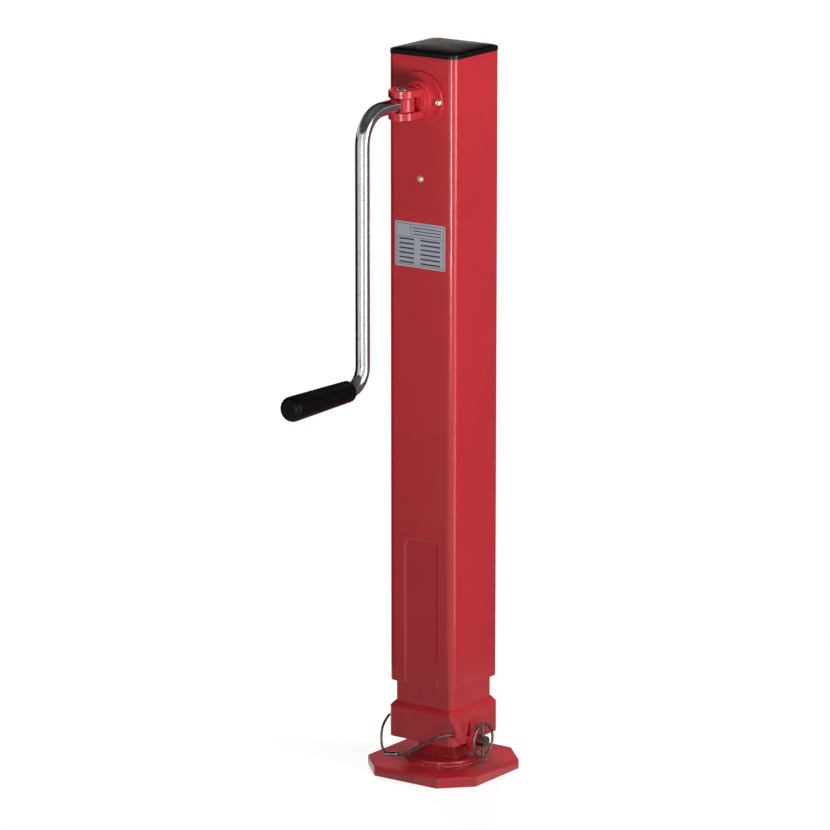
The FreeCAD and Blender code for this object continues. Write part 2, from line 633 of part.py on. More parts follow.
def make_shaft_bearings():
    """Screwed-on front flange with its bronze bush, and the bush housing on the inside of the back wall."""
    bore = "(dims.shaft_radius + dims.bush_wall)"
    face = f"-{FACE}"
    profile = [
        (bore, f"-({INSIDE} - dims.spigot_tail)"),
        (SPIGOT_RADIUS, f"-({INSIDE} - dims.spigot_tail)"),
        (SPIGOT_RADIUS, face),
        ("dims.flange_radius", face),
        ("dims.flange_radius", f"-({FACE} + dims.flange_thickness)"),
        (BOSS_ROOT, f"-({FACE} + dims.flange_thickness)"),
        (f"({BOSS_ROOT} - dims.boss_taper)", f"-{FLANGE_END}"),
        (bore, f"-{FLANGE_END}"),
    ]
    flange = turned("shaft_flange", "y", profile, SHAFT_Z)
    screw = "(dims.screw_radius + dims.fit_gap)"
    places = [(SCREW_PLACE, SHAFT_Z, screw), (f"-{SCREW_PLACE}", SHAFT_Z, screw)]
    drill(flange, "screw_holes", "XZ_Plane", f"({FACE} + dims.flange_thickness)", places,
          f"{CUT_SHARE} * dims.flange_thickness")
    keep("shaft_flange", flange)
    bush = ring_profile("(dims.shaft_radius + dims.running_gap)", bore,
                        f"-({INSIDE} - dims.spigot_tail)", f"-{FLANGE_END}")
    keep("shaft_bush", turned("shaft_bush", "y", bush, SHAFT_Z))
    housing = ring_profile("(dims.inner_shaft_radius + dims.running_gap)", "dims.rear_bush_radius",
                           f"({INSIDE} - dims.rear_bush_length)", INSIDE)
    keep("rear_bush", turned("rear_bush", "y", housing, SHAFT_Z))


def make_screw(name, across, height, seat):
    """A button-head screw that goes into the front wall, seated at a distance from the tube's axis."""
    root = "dims.screw_head_radius"
    end = f"-({INSIDE} - dims.screw_tail)"
    profile = [
        ("0", end),
        ("dims.screw_radius", end),
        ("dims.screw_radius", f"-{seat}"),
        (root, f"-{seat}"),
        (root, f"-({seat} + dims.screw_head_height / 2)"),
        ("dims.screw_top_radius", f"-({seat} + dims.screw_head_height)"),
        ("0", f"-({seat} + dims.screw_head_height)"),
    ]
    body = turned(name, "y", profile, height)
    body.setExpression("Placement.Base.x", across)
    return body


def make_screws():
    """Two screws, one each side of the shaft, hold the bearing flange."""
    seat = f"({FACE} + dims.flange_thickness)"
    screws = [
        make_screw("screw_right", SCREW_PLACE, SHAFT_Z, seat),
        make_screw("screw_left", f"-{SCREW_PLACE}", SHAFT_Z, seat),
    ]
    group("flange_screws", screws)


def make_drive_shaft():
    """Stepped shaft with a disc and a two-eared fork that the crank folds in."""
    end = f"({INSIDE} - dims.shaft_end_gap)"
    step = f"-{PINION_END}"
    profile = [
        ("0", end),
        ("dims.inner_shaft_radius", end),
        ("dims.inner_shaft_radius", step),
        ("dims.shaft_radius", step),
        ("dims.shaft_radius", f"-{FORK_START}"),
        ("dims.fork_disc_radius", f"-{FORK_START}"),
        ("dims.fork_disc_radius", f"-{FORK_FACE}"),
        ("0", f"-{FORK_FACE}"),
    ]
    body = turned("drive_shaft", "y", profile, SHAFT_Z)
    plan = new_sketch(body, "fork_plan", "XY_Plane", SHAFT_Z)
    tombstone(plan, "dims.fork_width / 2", f"-({FORK_FACE} - dims.fork_disc_thickness / 2)", f"-{FOLD_Y}")
    pad(body, plan, "fork", "dims.fork_height", middle=True)
    gap = "(2 * (dims.rod_radius + dims.fork_gap))"
    slot = new_sketch(body, "slot_plan", "XY_Plane", SHAFT_Z)
    half = "dims.fork_width"
    floor = f"-({FOLD_Y} - dims.knuckle_radius - dims.fork_gap)"
    mouth = f"-({FOLD_Y} + dims.fork_width)"
    outline(slot, [(f"-{half}", mouth), (half, mouth), (half, floor), (f"-{half}", floor)])
    pocket(body, slot, "slot", gap, middle=True)
    drill(body, "pin_hole", "XY_Plane", SHAFT_Z, [("0", f"-{FOLD_Y}", "dims.fold_pin_radius")],
          f"{CUT_SHARE} * dims.fork_height", middle=True)
    drill(body, "pinion_pin_hole", "XY_Plane", SHAFT_Z, [("0", PINION_PIN_Y, "dims.pinion_pin_radius")],
          f"{CUT_SHARE} * 2 * dims.inner_shaft_radius", middle=True)
    keep("drive_shaft", body)
    half_height = "(dims.fork_height / 2)"
    pin = [
        ("0", f"({SHAFT_Z} - {half_height} - dims.fold_head)"),
        ("dims.fold_head_radius", f"({SHAFT_Z} - {half_height} - dims.fold_head)"),
        ("dims.fold_head_radius", f"({SHAFT_Z} - {half_height})"),
        ("dims.fold_pin_radius", f"({SHAFT_Z} - {half_height})"),
        ("dims.fold_pin_radius", f"({SHAFT_Z} + {half_height})"),
        ("dims.fold_head_radius", f"({SHAFT_Z} + {half_height})"),
        ("dims.fold_head_radius", f"({SHAFT_Z} + {half_height} + dims.fold_head)"),
        ("0", f"({SHAFT_Z} + {half_height} + dims.fold_head)"),
    ]
    fold_pin = turned("fold_pin", "z", pin)
    fold_pin.setExpression("Placement.Base.y", f"-{FOLD_Y}")
    keep("fold_pin", fold_pin)


def crank_line(sketch):
    """The crank rod's centre line: out from the knuckle, down the arm and out again into the grip."""
    arm, top, low = number("dims.arm_reach"), number(SHAFT_Z), number(GRIP_Z)
    start = number(KNUCKLE_FACE)
    end = number(f"{GRIP_FLOOR} - dims.grip_end_gap")
    upper, lower = number("dims.upper_bend"), number("dims.lower_bend")
    up = Vector(0, 0, 1)
    first = sketch.addGeometry(Part.LineSegment(Vector(-start, top, 0), Vector(upper - arm, top, 0)))
    ring = Part.Circle(Vector(upper - arm, top - upper, 0), up, upper)
    bend = sketch.addGeometry(Part.ArcOfCircle(ring, math.pi / 2, math.pi))
    arm_line = Part.LineSegment(Vector(-arm, top - upper, 0), Vector(-arm, low + lower, 0))
    middle = sketch.addGeometry(arm_line)
    ring = Part.Circle(Vector(-arm - lower, low + lower, 0), up, lower)
    turn = sketch.addGeometry(Part.ArcOfCircle(ring, -math.pi / 2, 0))
    last = sketch.addGeometry(Part.LineSegment(Vector(-arm - lower, low, 0), Vector(-end, low, 0)))
    sketch.addConstraint(Sketcher.Constraint("Tangent", first, 2, bend, 1))
    sketch.addConstraint(Sketcher.Constraint("Tangent", bend, 2, middle, 1))
    sketch.addConstraint(Sketcher.Constraint("Tangent", middle, 2, turn, 2))
    sketch.addConstraint(Sketcher.Constraint("Tangent", turn, 1, last, 1))
    sketch.addConstraint(Sketcher.Constraint("Horizontal", first))
    sketch.addConstraint(Sketcher.Constraint("Vertical", middle))
    sketch.addConstraint(Sketcher.Constraint("Horizontal", last))
    bind(sketch, Sketcher.Constraint("Radius", bend, upper), "dims.upper_bend")
    bind(sketch, Sketcher.Constraint("Radius", turn, lower), "dims.lower_bend")
    bind(sketch, Sketcher.Constraint("DistanceX", middle, 1, -1, 1, arm), "dims.arm_reach")
    pin_point(sketch, first, 1, f"-{KNUCKLE_FACE}", SHAFT_Z)
    pin_point(sketch, last, 2, f"-({GRIP_FLOOR} - dims.grip_end_gap)", GRIP_Z)


def make_knuckle():
    """Round knuckle that folds in the fork, with a flat for the crank rod."""
    low, high = (f"({SHAFT_Z} {side} dims.rod_radius)" for side in "-+")
    radius = "dims.knuckle_radius"
    body = turned("crank_knuckle", "z", [("0", low), (radius, low), (radius, high), ("0", high)])
    fillet(body, "rims", "dims.knuckle_round", lambda edge: edge.Curve.TypeId == "Part::GeomCircle")
    flat = new_sketch(body, "flat_outline", "XY_Plane", SHAFT_Z)
    face = "-dims.knuckle_flat"
    past = f"-{CUT_SHARE} * {radius}"
    outline(flat, [(f"-{radius}", past), (radius, past), (radius, face), (f"-{radius}", face)])
    height = f"{CUT_SHARE} * 2 * dims.rod_radius"
    pocket(body, flat, "flat", height, middle=True)
    hole = [("0", "0", "(dims.fold_pin_radius + dims.running_gap)")]
    drill(body, "pin_hole", "XY_Plane", SHAFT_Z, hole, height, middle=True)
    body.setExpression("Placement.Base.y", f"-{FOLD_Y}")
    keep("crank_knuckle", body)


def make_crank():
    """Bent round crank rod, and a tapered plastic grip that turns on its end."""
    body = new_body("crank_rod")
    spine = new_sketch(body, "line", "YZ_Plane")
    crank_line(spine)
    section = new_sketch(body, "section", "XZ_Plane", KNUCKLE_FACE)
    circle(section, "0", SHAFT_Z, "dims.rod_radius")
    doc.recompute()
    pipe = body.newObject("PartDesign::AdditivePipe", "crank_rod_pipe")
    pipe.Profile = section
    pipe.Spine = (spine, [f"Edge{index + 1}" for index in range(spine.GeometryCount)])
    doc.recompute()
    keep("crank_rod", body)
    bore = "(dims.rod_radius + 2 * dims.running_gap)"
    profile = [
        (bore, f"-{GRIP_NEAR}"),
        ("dims.grip_inner_radius", f"-{GRIP_NEAR}"),
        ("dims.grip_outer_radius", f"-({GRIP_FAR} - dims.grip_round - dims.grip_land)"),
        ("dims.grip_outer_radius", f"-{GRIP_FAR}"),
        ("0", f"-{GRIP_FAR}"),
        ("0", f"-{GRIP_FLOOR}"),
        (bore, f"-{GRIP_FLOOR}"),
    ]
    grip = turned("grip", "y", profile, GRIP_Z)
    end_wall = -number(f"{GRIP_FAR} - dims.grip_end_wall / 2")
    fillet(grip, "outer_round", "dims.grip_round", lambda edge: edge.BoundBox.YMax < end_wall)
    mouth = -number(f"{GRIP_NEAR} + dims.grip_inner_round")
    wide = number(f"({bore} + dims.grip_inner_radius) / 2")
    fillet(grip, "inner_round", "dims.grip_inner_round",
           lambda edge: edge.BoundBox.YMin > mouth and edge.BoundBox.XMax > wide)
    keep("grip", grip)


def tooth_flank(pitch_radius, cone_cosine):
    """One flank of a bevel tooth on its back cone: (half thickness, height over the pitch line) pairs."""
    module, pressure = number(MODULE), math.radians(number("dims.pressure_angle"))
    rolled = pitch_radius / cone_cosine
    base = rolled * math.cos(pressure)
    half_angle = (math.pi * module / 2 - number("dims.tooth_play")) / (2 * rolled)
    at_pitch = math.tan(pressure) - pressure
    root = rolled - number("dims.root_depth") * module
    tip = rolled + number("dims.tip_height") * module
    flank = []
    for share in (0, 0.35, 0.7, 1):
        radius = root + share * (tip - root)
        leaning = math.acos(min(1, base / radius))
        angle = half_angle + at_pitch - (math.tan(leaning) - leaning)
        flank.append((radius * math.sin(angle), radius * math.cos(angle) - rolled))
    return flank


def bevel_gear(teeth, mate_teeth, first_tooth, blank):
    """Straight bevel gear with its apex at the origin and its large end down the -Z axis."""
    module = number(MODULE)
    pitch, drop = module * teeth / 2, module * mate_teeth / 2
    cone = math.hypot(pitch, drop)
    sine, cosine = pitch / cone, drop / cone
    narrow = 1 - number("dims.tooth_face") / cone
    sink = number(ROOT) / 4
    flank = tooth_flank(pitch, cosine)
    flank = [(flank[0][0], flank[0][1] - sink)] + flank
    section = [(-half, high) for half, high in flank] + [(half, high) for half, high in reversed(flank)]
    solid = blank(pitch, drop, sine, cosine, narrow)
    large = [Vector(pitch + high * cosine, half, -drop + high * sine) for half, high in section]
    rings = []
    for share in (1, narrow):
        rings.append(Part.makePolygon([point * share for point in large + large[:1]]))
    tooth = Part.makeLoft(rings, True, True)
    all_teeth = []
    for index in range(int(teeth)):
        copy = tooth.copy()
        copy.rotate(Vector(0, 0, 0), Vector(0, 0, 1), first_tooth + index * 360 / teeth)
        all_teeth.append(copy)
    return solid.fuse(all_teeth).removeSplitter()


def spun(corners):
    """A solid of revolution about Z from (radius, height) corners."""
    points = [Vector(radius, 0, high) for radius, high in corners]
    face = Part.Face(Part.makePolygon(points + points[:1]))
    return face.revolve(Vector(0, 0, 0), Vector(0, 0, 1), 360)


def gear_blank(pitch, drop, sine, cosine, narrow):
    """Root cone, rim and hub of the bevel gear on the spindle."""
    root = number(ROOT)
    wide, low = pitch - root * cosine, -drop - root * sine
    bore, hub = number(SEAT_RADIUS), number("dims.gear_hub_radius")
    rim = low - number("dims.gear_rim")
    return spun([(bore, low * narrow), (wide * narrow, low * narrow), (wide, low), (wide, rim), (hub, rim),
                 (hub, rim - number("dims.gear_hub_length")), (bore, rim - number("dims.gear_hub_length"))])


def pinion_blank(pitch, drop, sine, cosine, narrow):
    """Root cone and hub of the bevel pinion on the crank shaft."""
    root = number(ROOT)
    wide, low = pitch - root * cosine, -drop - root * sine
    bore, hub = number("dims.inner_shaft_radius"), number("dims.pinion_hub_radius")
    end = low - number("dims.pinion_hub_length")
    return spun([(bore, low * narrow), (wide * narrow, low * narrow), (wide, low), (hub, low),
                 (hub, end), (bore, end)])


def cross_hole(solid, radius, length, centre, direction):
    """The solid with a round hole bored through it, centred on a point."""
    start = centre - direction * (length / 2)
    return solid.cut(Part.makeCylinder(radius, length, start, direction))


def make_gears():
    """Bevel pair, each pinned to its shaft: a tooth of the gear points at -Y, where the pinion has a gap."""
    pinion_teeth, gear_teeth = number("dims.pinion_teeth"), number("dims.gear_teeth")
    apex = number(SHAFT_Z)
    gear = doc.addObject("Part::Feature", "bevel_gear")
    wide = 2 * number("dims.gear_hub_radius")
    gear_pin = Vector(0, 0, number(GEAR_PIN_Z) - apex)
    gear.Shape = cross_hole(bevel_gear(gear_teeth, pinion_teeth, -90, gear_blank),
                            number("dims.gear_pin_radius"), wide, gear_pin, Vector(1, 0, 0))
    gear.Placement = FreeCAD.Placement(Vector(0, 0, apex), FreeCAD.Rotation())
    keep("bevel_gear", gear)
    keep("gear_pin", rod("gear_pin_rod", "dims.gear_pin_radius", "2 * dims.gear_hub_radius", Vector(1, 0, 0),
                         ("-dims.gear_hub_radius", "0", GEAR_PIN_Z)))
    pinion = doc.addObject("Part::Feature", "bevel_pinion")
    wide = 2 * number("dims.pinion_hub_radius")
    pinion_pin = Vector(0, 0, number(PINION_PIN_Y))
    pinion.Shape = cross_hole(bevel_gear(pinion_teeth, gear_teeth, 90 + 180 / pinion_teeth, pinion_blank),
                              number("dims.pinion_pin_radius"), wide, pinion_pin, Vector(0, 1, 0))
    turn = FreeCAD.Rotation(Vector(1, 0, 0), -90)
    pinion.Placement = FreeCAD.Placement(Vector(0, 0, apex), turn)
    keep("bevel_pinion", pinion)
    keep("pinion_pin", rod("pinion_pin_rod", "dims.pinion_pin_radius", "2 * dims.pinion_hub_radius",
                           Vector(0, 0, 1), ("0", PINION_PIN_Y, f"({SHAFT_Z} - dims.pinion_hub_radius)")))


def make_spindle():
    """Lifting spindle with its thrust shoulder, journal and gear seat, and what is fastened to it."""
    top = f"({GEAR_OVER} + dims.ring_thickness + dims.seat_tail)"
    profile = [
        ("0", SPINDLE_BOTTOM),
        ("dims.spindle_radius", SPINDLE_BOTTOM),
        ("dims.spindle_radius", SHOULDER_UNDER),
        ("dims.shoulder_radius", SHOULDER_UNDER),
        ("dims.shoulder_radius", SHOULDER_TOP),
        ("dims.journal_radius", SHOULDER_TOP),
        ("dims.journal_radius", GEAR_UNDER),
        (SEAT_RADIUS, GEAR_UNDER),
        (SEAT_RADIUS, top),
        ("0", top),
    ]
    spindle = turned("spindle", "z", profile)
    drill(spindle, "gear_pin_hole", "YZ_Plane", "0", [("0", GEAR_PIN_Z, "dims.gear_pin_radius")],
          f"{CUT_SHARE} * 2 * {SEAT_RADIUS}", middle=True)
    stop_z = f"({STOP_TOP} - dims.stop_height / 2)"
    across = f"({CUT_SHARE} * 2 * dims.stop_radius)"
    stop_hole = [("0", stop_z, "dims.stop_pin_radius")]
    drill(spindle, "stop_pin_hole", "YZ_Plane", "0", stop_hole, across, middle=True)
    keep("spindle", spindle)
    ring = turned("stop_ring", "z", ring_profile("dims.spindle_radius", "dims.stop_radius",
                                                 f"({STOP_TOP} - dims.stop_height)", STOP_TOP))
    drill(ring, "pin_hole", "YZ_Plane", "0", stop_hole, across, middle=True)
    keep("stop_ring", ring)
    keep("stop_pin", rod("stop_pin_rod", "dims.stop_pin_radius", "2 * dims.stop_radius", Vector(1, 0, 0),
                         ("-dims.stop_radius", "0", stop_z)))
    over = ring_profile(SEAT_RADIUS, "dims.ring_radius", GEAR_OVER,
                        f"({GEAR_OVER} + dims.ring_thickness)")
    keep("gear_ring", turned("gear_ring", "z", over))
    sleeve = ring_profile("dims.journal_radius", "dims.gear_hub_radius",
                          f"({BEARING_OVER} + dims.side_gap)", GEAR_UNDER)
    keep("spacer_sleeve", turned("spacer_sleeve", "z", sleeve))


def make_thrust_bearing():
    """Ball thrust bearing under the bearing plate: two washers, and balls in a cage."""
    lower = ring_profile("dims.journal_radius", "dims.thrust_radius", SHOULDER_TOP,
                         f"({SHOULDER_TOP} + dims.washer_thickness)")
    keep("thrust_lower_washer", turned("thrust_lower_washer", "z", lower))
    upper = ring_profile("(dims.journal_radius + dims.side_gap)", "dims.thrust_radius",
                         f"({BEARING_UNDER} - dims.washer_thickness)", BEARING_UNDER)
    keep("thrust_upper_washer", turned("thrust_upper_washer", "z", upper))
    middle = f"({SHOULDER_TOP} + dims.washer_thickness + {BALL_SPACE} / 2)"
    cage = turned("ball_cage_ring", "z", ring_profile(
        "(dims.journal_radius + dims.side_gap)", "(dims.thrust_radius - dims.side_gap)",
        f"({middle} - dims.cage_thickness / 2)", f"({middle} + dims.cage_thickness / 2)"))
    count = int(number("dims.ball_count"))
    balls = []
    for index in range(count):
        turn = f"{360 * index / count} deg"
        ball = doc.addObject("Part::Sphere", f"thrust_ball_{index}")
        ball.setExpression("Radius", "dims.ball_radius")
        ball.setExpression("Placement.Base.x", f"{BALL_CIRCLE} * cos({turn})")
        ball.setExpression("Placement.Base.y", f"{BALL_CIRCLE} * sin({turn})")
        ball.setExpression("Placement.Base.z", middle)
        balls.append(ball)
    cage_and_balls = doc.addObject("Part::MultiFuse", "ball_cage")
    cage_and_balls.Shapes = [cage] + balls
    keep("ball_cage", cage_and_balls)


def make_bearing_plate():
    """Thick plate welded across the tube that takes the spindle's thrust, and the nipple that greases it."""
    body = new_body("bearing_plate")
    sketch = new_sketch(body, "section", "XY_Plane", BEARING_UNDER)
    rounded_square(sketch, f"2 * {INSIDE}", "(dims.tube_corner - dims.tube_wall)")
    circle(sketch, "0", "0", "(dims.journal_radius + dims.running_gap)")
    pad(body, sketch, "plate", "dims.bearing_thickness")
    doc.recompute()
    drill(body, "grease_hole", "XZ_Plane", INSIDE, [("0", BEARING_Z, "(dims.screw_radius + dims.fit_gap)")],
          "(dims.screw_tail + dims.fit_gap)")
    keep("bearing_plate", body)
    keep("grease_nipple", make_screw("grease_nipple", "0", BEARING_Z, FACE))


def make_leg():
    """Inner tube and the spindle nut pinned in its upper end."""
    tube = square_tube("inner_tube", f"2 * {LEG_FACE}", "dims.inner_corner", f"2 * {LEG_INSIDE}",
                       "(dims.inner_corner - dims.inner_wall)", LEG_BOTTOM, f"({LEG_TOP} - {LEG_BOTTOM})")
    pin_z = f"({LEG_TOP} - dims.nut_flange / 2)"
    across = f"({CUT_SHARE} * 2 * {LEG_FACE})"
    hole = [("0", pin_z, "dims.nut_pin_radius")]
    drill(tube, "side_pins", "YZ_Plane", "0", hole, across, middle=True)
    drill(tube, "face_pins", "XZ_Plane", "0", hole, across, middle=True)
    keep("inner_tube", tube)
    nut = new_body("spindle_nut")
    flange = new_sketch(nut, "flange", "XY_Plane", f"({LEG_TOP} - dims.nut_flange)")
    nut_width = f"(2 * {LEG_INSIDE} - 2 * dims.nut_gap)"
    rounded_square(flange, nut_width, "(dims.inner_corner - dims.inner_wall)")
    pad(nut, flange, "flange_pad", "dims.nut_flange")
    barrel = new_sketch(nut, "barrel", "XY_Plane", NUT_BOTTOM)
    circle(barrel, "0", "0", "dims.nut_radius")
    pad(nut, barrel, "barrel_pad", "dims.nut_length")
    doc.recompute()
    drill(nut, "thread_bore", "XY_Plane", LEG_TOP, [("0", "0", "(dims.spindle_radius + dims.running_gap)")],
          f"{CUT_SHARE} * dims.nut_length")
    reach = f"({LEG_FACE} - dims.inner_wall - dims.nut_pin_depth)"
    side = drill(nut, "side_pin", "YZ_Plane", LEG_FACE, hole, f"({LEG_FACE} - {reach})")
    face = drill(nut, "face_pin", "XZ_Plane", LEG_FACE, hole, f"({LEG_FACE} - {reach})")
    mirrored(nut, "far_side_pin", [side], "YZ_Plane")
    mirrored(nut, "far_face_pin", [face], "XZ_Plane")
    keep("spindle_nut", nut)
    length = f"({LEG_FACE} - {reach})"
    pins = [
        rod("nut_pin_right", "dims.nut_pin_radius", length, Vector(1, 0, 0), (reach, "0", pin_z)),
        rod("nut_pin_left", "dims.nut_pin_radius", length, Vector(-1, 0, 0), (f"-{reach}", "0", pin_z)),
        rod("nut_pin_back", "dims.nut_pin_radius", length, Vector(0, 1, 0), ("0", reach, pin_z)),
        rod("nut_pin_front", "dims.nut_pin_radius", length, Vector(0, -1, 0), ("0", f"-{reach}", pin_z)),
    ]
    group("nut_pins", pins)


def make_collar():
    """Collar round the leg's lower end: sloped on top, with eared and bossed side walls for the foot pin."""
    body = square_tube("foot_collar", f"2 * {COLLAR_FACE}", "dims.collar_corner", f"2 * {LEG_FACE}",
                       "(dims.inner_corner / 2)", "dims.collar_bottom", "dims.collar_height")
    mid_wall = number(f"{LEG_FACE} + dims.collar_wall / 2")
    half_up = number("dims.collar_bottom + dims.collar_height / 2")

    def upper_outer(edge):
        box = edge.BoundBox
        outside = max(box.XMax, -box.XMin, box.YMax, -box.YMin) > mid_wall
        return box.ZMin > half_up and outside

    chamfer(body, "slope", "dims.collar_slope", upper_outer)
    ear = new_sketch(body, "ear_outline", "YZ_Plane", LEG_FACE)
    tombstone(ear, "dims.ear_radius", "(dims.collar_bottom + dims.collar_wall)", PIN_Z)
    ear_pad = pad(body, ear, "ear", "dims.collar_wall")
    boss = new_sketch(body, "boss_outline", "YZ_Plane", COLLAR_FACE)
    circle(boss, "0", PIN_Z, "dims.boss_radius")
    boss_pad = pad(body, boss, "boss", "dims.boss_length")
    doc.recompute()
    mirrored(body, "other_ear", [ear_pad, boss_pad], "YZ_Plane")
    hole = [("0", PIN_Z, "(dims.foot_pin_radius + dims.running_gap)")]
    drill(body, "pin_holes", "YZ_Plane", "0", hole, f"({CUT_SHARE} * 2 * {BOSS_FACE})", middle=True)
    slot = new_sketch(body, "slot_outline", "YZ_Plane")
    foot = "(dims.collar_bottom + dims.slot_rise)"
    near = "-(dims.boss_radius + dims.slot_gap)"
    far = f"({near} - dims.slot_width)"
    head = f"({foot} + dims.slot_height)"
    outline(slot, [(far, foot), (near, foot), (near, head), (f"({near} - dims.slot_width / 3)", head)])
    pocket(body, slot, "slots", f"({CUT_SHARE} * 2 * {COLLAR_FACE})", middle=True)
    keep("foot_collar", body)


def make_foot_pin():
    """Foot pin with its spacers, and the linch pin and ring that keep it in."""
    head = f"(-{BOSS_FACE} - dims.side_gap)"
    end = f"({BOSS_FACE} + dims.foot_pin_tail)"
    profile = [
        ("0", f"({head} - dims.foot_pin_head)"),
        ("dims.foot_pin_head_radius", f"({head} - dims.foot_pin_head)"),
        ("dims.foot_pin_head_radius", head),
        ("dims.foot_pin_radius", head),
        ("dims.foot_pin_radius", end),
        ("0", end),
    ]
    pin = turned("foot_pin", "x", profile, PIN_Z)
    drill(pin, "linch_hole", "XY_Plane", PIN_Z, [(LINCH_X, "0", "dims.linch_radius")],
          f"{CUT_SHARE} * 2 * dims.foot_pin_radius", middle=True)
    keep("foot_pin", pin)
    bore = "(dims.foot_pin_radius + dims.running_gap)"
    near = "(dims.tongue_width / 2 + dims.side_gap)"
    far = f"({LEG_FACE} - dims.side_gap)"
    spacers = [
        turned("spacer_right", "x", ring_profile(bore, "dims.spacer_radius", near, far), PIN_Z),
        turned("spacer_left", "x", ring_profile(bore, "dims.spacer_radius", f"-{far}", f"-{near}"), PIN_Z),
    ]
    group("pin_spacers", spacers)
    reach = "dims.linch_ring_radius"
    shank = rod("linch_shank", "dims.linch_radius", f"(2 * {reach} + 2 * dims.linch_radius)", Vector(0, 0, 1),
                (LINCH_X, "0", f"({PIN_Z} - {reach} - dims.linch_radius)"))
    ring = doc.addObject("Part::Torus", "linch_ring")
    ring.setExpression("Radius1", reach)
    ring.setExpression("Radius2", "dims.linch_wire_radius")
    ring.Placement = FreeCAD.Placement(Vector(0, 0, 0), FreeCAD.Rotation(Vector(0, 0, 1), Vector(1, 0, 0)))
    ring.setExpression("Placement.Base.x", LINCH_X)
    ring.setExpression("Placement.Base.z", PIN_Z)
    linch = doc.addObject("Part::Fuse", "linch_pin")
    linch.Base = shank
    linch.Tool = ring
    keep("linch_pin", linch)


def make_keeper():
    """Nosed eye lug welded round the collar's front corner, which the retaining wire hooks into."""
    body = new_body("wire_keeper_lug")
    root = f"({COLLAR_CORNER} - dims.keeper_bed)"
    tip = f"({COLLAR_CORNER} + dims.keeper_reach)"
    side = new_sketch(body, "side", "XZ_Plane")
    outline(side, [
        (root, KEEPER_UNDER),
        (tip, KEEPER_UNDER),
        (tip, f"({KEEPER_UNDER} + dims.nose_height)"),
        (COLLAR_CORNER, KEEPER_TOP),
        (root, KEEPER_TOP),
    ])
    pad(body, side, "lug", "2 * dims.keeper_width", middle=True)
    plan = new_sketch(body, "cheeks", "XY_Plane", KEEPER_TOP)
    half, past = "dims.keeper_width / 2", f"{CUT_SHARE} * dims.keeper_width"
    left = "(dims.nose_lean - dims.nose_width / 2)"
    right = "(dims.nose_lean + dims.nose_width / 2)"
    outline(plan, [(root, f"-{past}"), (tip, f"-{past}"), (tip, left), (root, f"-{half}")])
    outline(plan, [(root, half), (tip, right), (tip, past), (root, past)])
    pocket(body, plan, "cheek_cut", f"{CUT_SHARE} * dims.keeper_height")
    bed = number(COLLAR_CORNER)
    fillet(body, "round", "dims.nose_round", lambda edge: edge.BoundBox.XMax > bed)
    drill(body, "eye", "XZ_Plane", "0", [(EYE_OUT, EYE_Z, "dims.eye_radius")],
          f"{CUT_SHARE} * 2 * dims.keeper_width", middle=True)
    body.Placement = FreeCAD.Placement(Vector(0, 0, 0), FreeCAD.Rotation(Vector(0, 0, 1), -45))
    bedding = new_body("wire_keeper_bedding")
    sketch = new_sketch(bedding, "outline", "XY_Plane", "dims.collar_bottom")
    rounded_square(sketch, f"2 * {COLLAR_FACE}", "dims.collar_corner")
    pad(bedding, sketch, "block", "dims.collar_height")
    keeper = doc.addObject("Part::Cut", "wire_keeper")
    keeper.Base = body
    keeper.Tool = bedding
    keep("wire_keeper", keeper)


def make_wire():
    """Stiff wire that keeps the pin with the leg: from the pin's head round the front to the keeper's eye."""
    face, pin_z = number(COLLAR_FACE), number(PIN_Z)
    head = -number(f"{BOSS_FACE} + dims.side_gap + dims.foot_pin_head")
    wire = number("dims.wire_radius")
    eye, eye_z = number(EYE_OUT) / math.sqrt(2), number(EYE_Z)
    reach = number("dims.keeper_width / 2")
    rise, bow = number("dims.wire_rise"), number("dims.wire_bow")
    front, dip = -face - number("dims.wire_stand_off"), number("dims.wire_dip")
    route = [
        Vector(head - wire, -bow, pin_z + bow),
        Vector(head - bow, -rise, pin_z + rise),
        Vector(head + bow / 2, -face - bow / 2, pin_z + 2 * bow),
        Vector(-face + bow, front, pin_z - dip),
        Vector(-face / 4, front, pin_z - dip + bow),
        Vector(face / 3, front + bow, pin_z + bow),
        Vector(eye - reach - bow / 2, -eye - reach - bow / 2, eye_z),
        Vector(eye + reach, -eye + reach, eye_z),
    ]
    edges = []
    last = route[0]
    for before, point, after in zip(route, route[1:], route[2:]):
        back, on = before - point, after - point
        shorter = min(back.Length, on.Length)
        back.normalize()
        on.normalize()
        inset = BEND_SHARE * shorter
        start, end = point + back * inset, point + on * inset
        half = back.getAngle(on) / 2
        centre = point + (back + on).normalize() * (inset / math.cos(half))
        middle = centre + (point - centre).normalize() * (inset * math.tan(half))
        edges.append(Part.makeLine(last, start))
        edges.append(Part.Arc(start, middle, end).toShape())
        last = end
    edges.append(Part.makeLine(last, route[-1]))
    path = Part.Wire(edges)
    ring = Part.Wire([Part.makeCircle(wire, route[0], route[1] - route[0])])
    made = doc.addObject("Part::Feature", "retaining_wire")
    made.Shape = path.makePipeShell([ring], True, False)
    keep("retaining_wire", made)


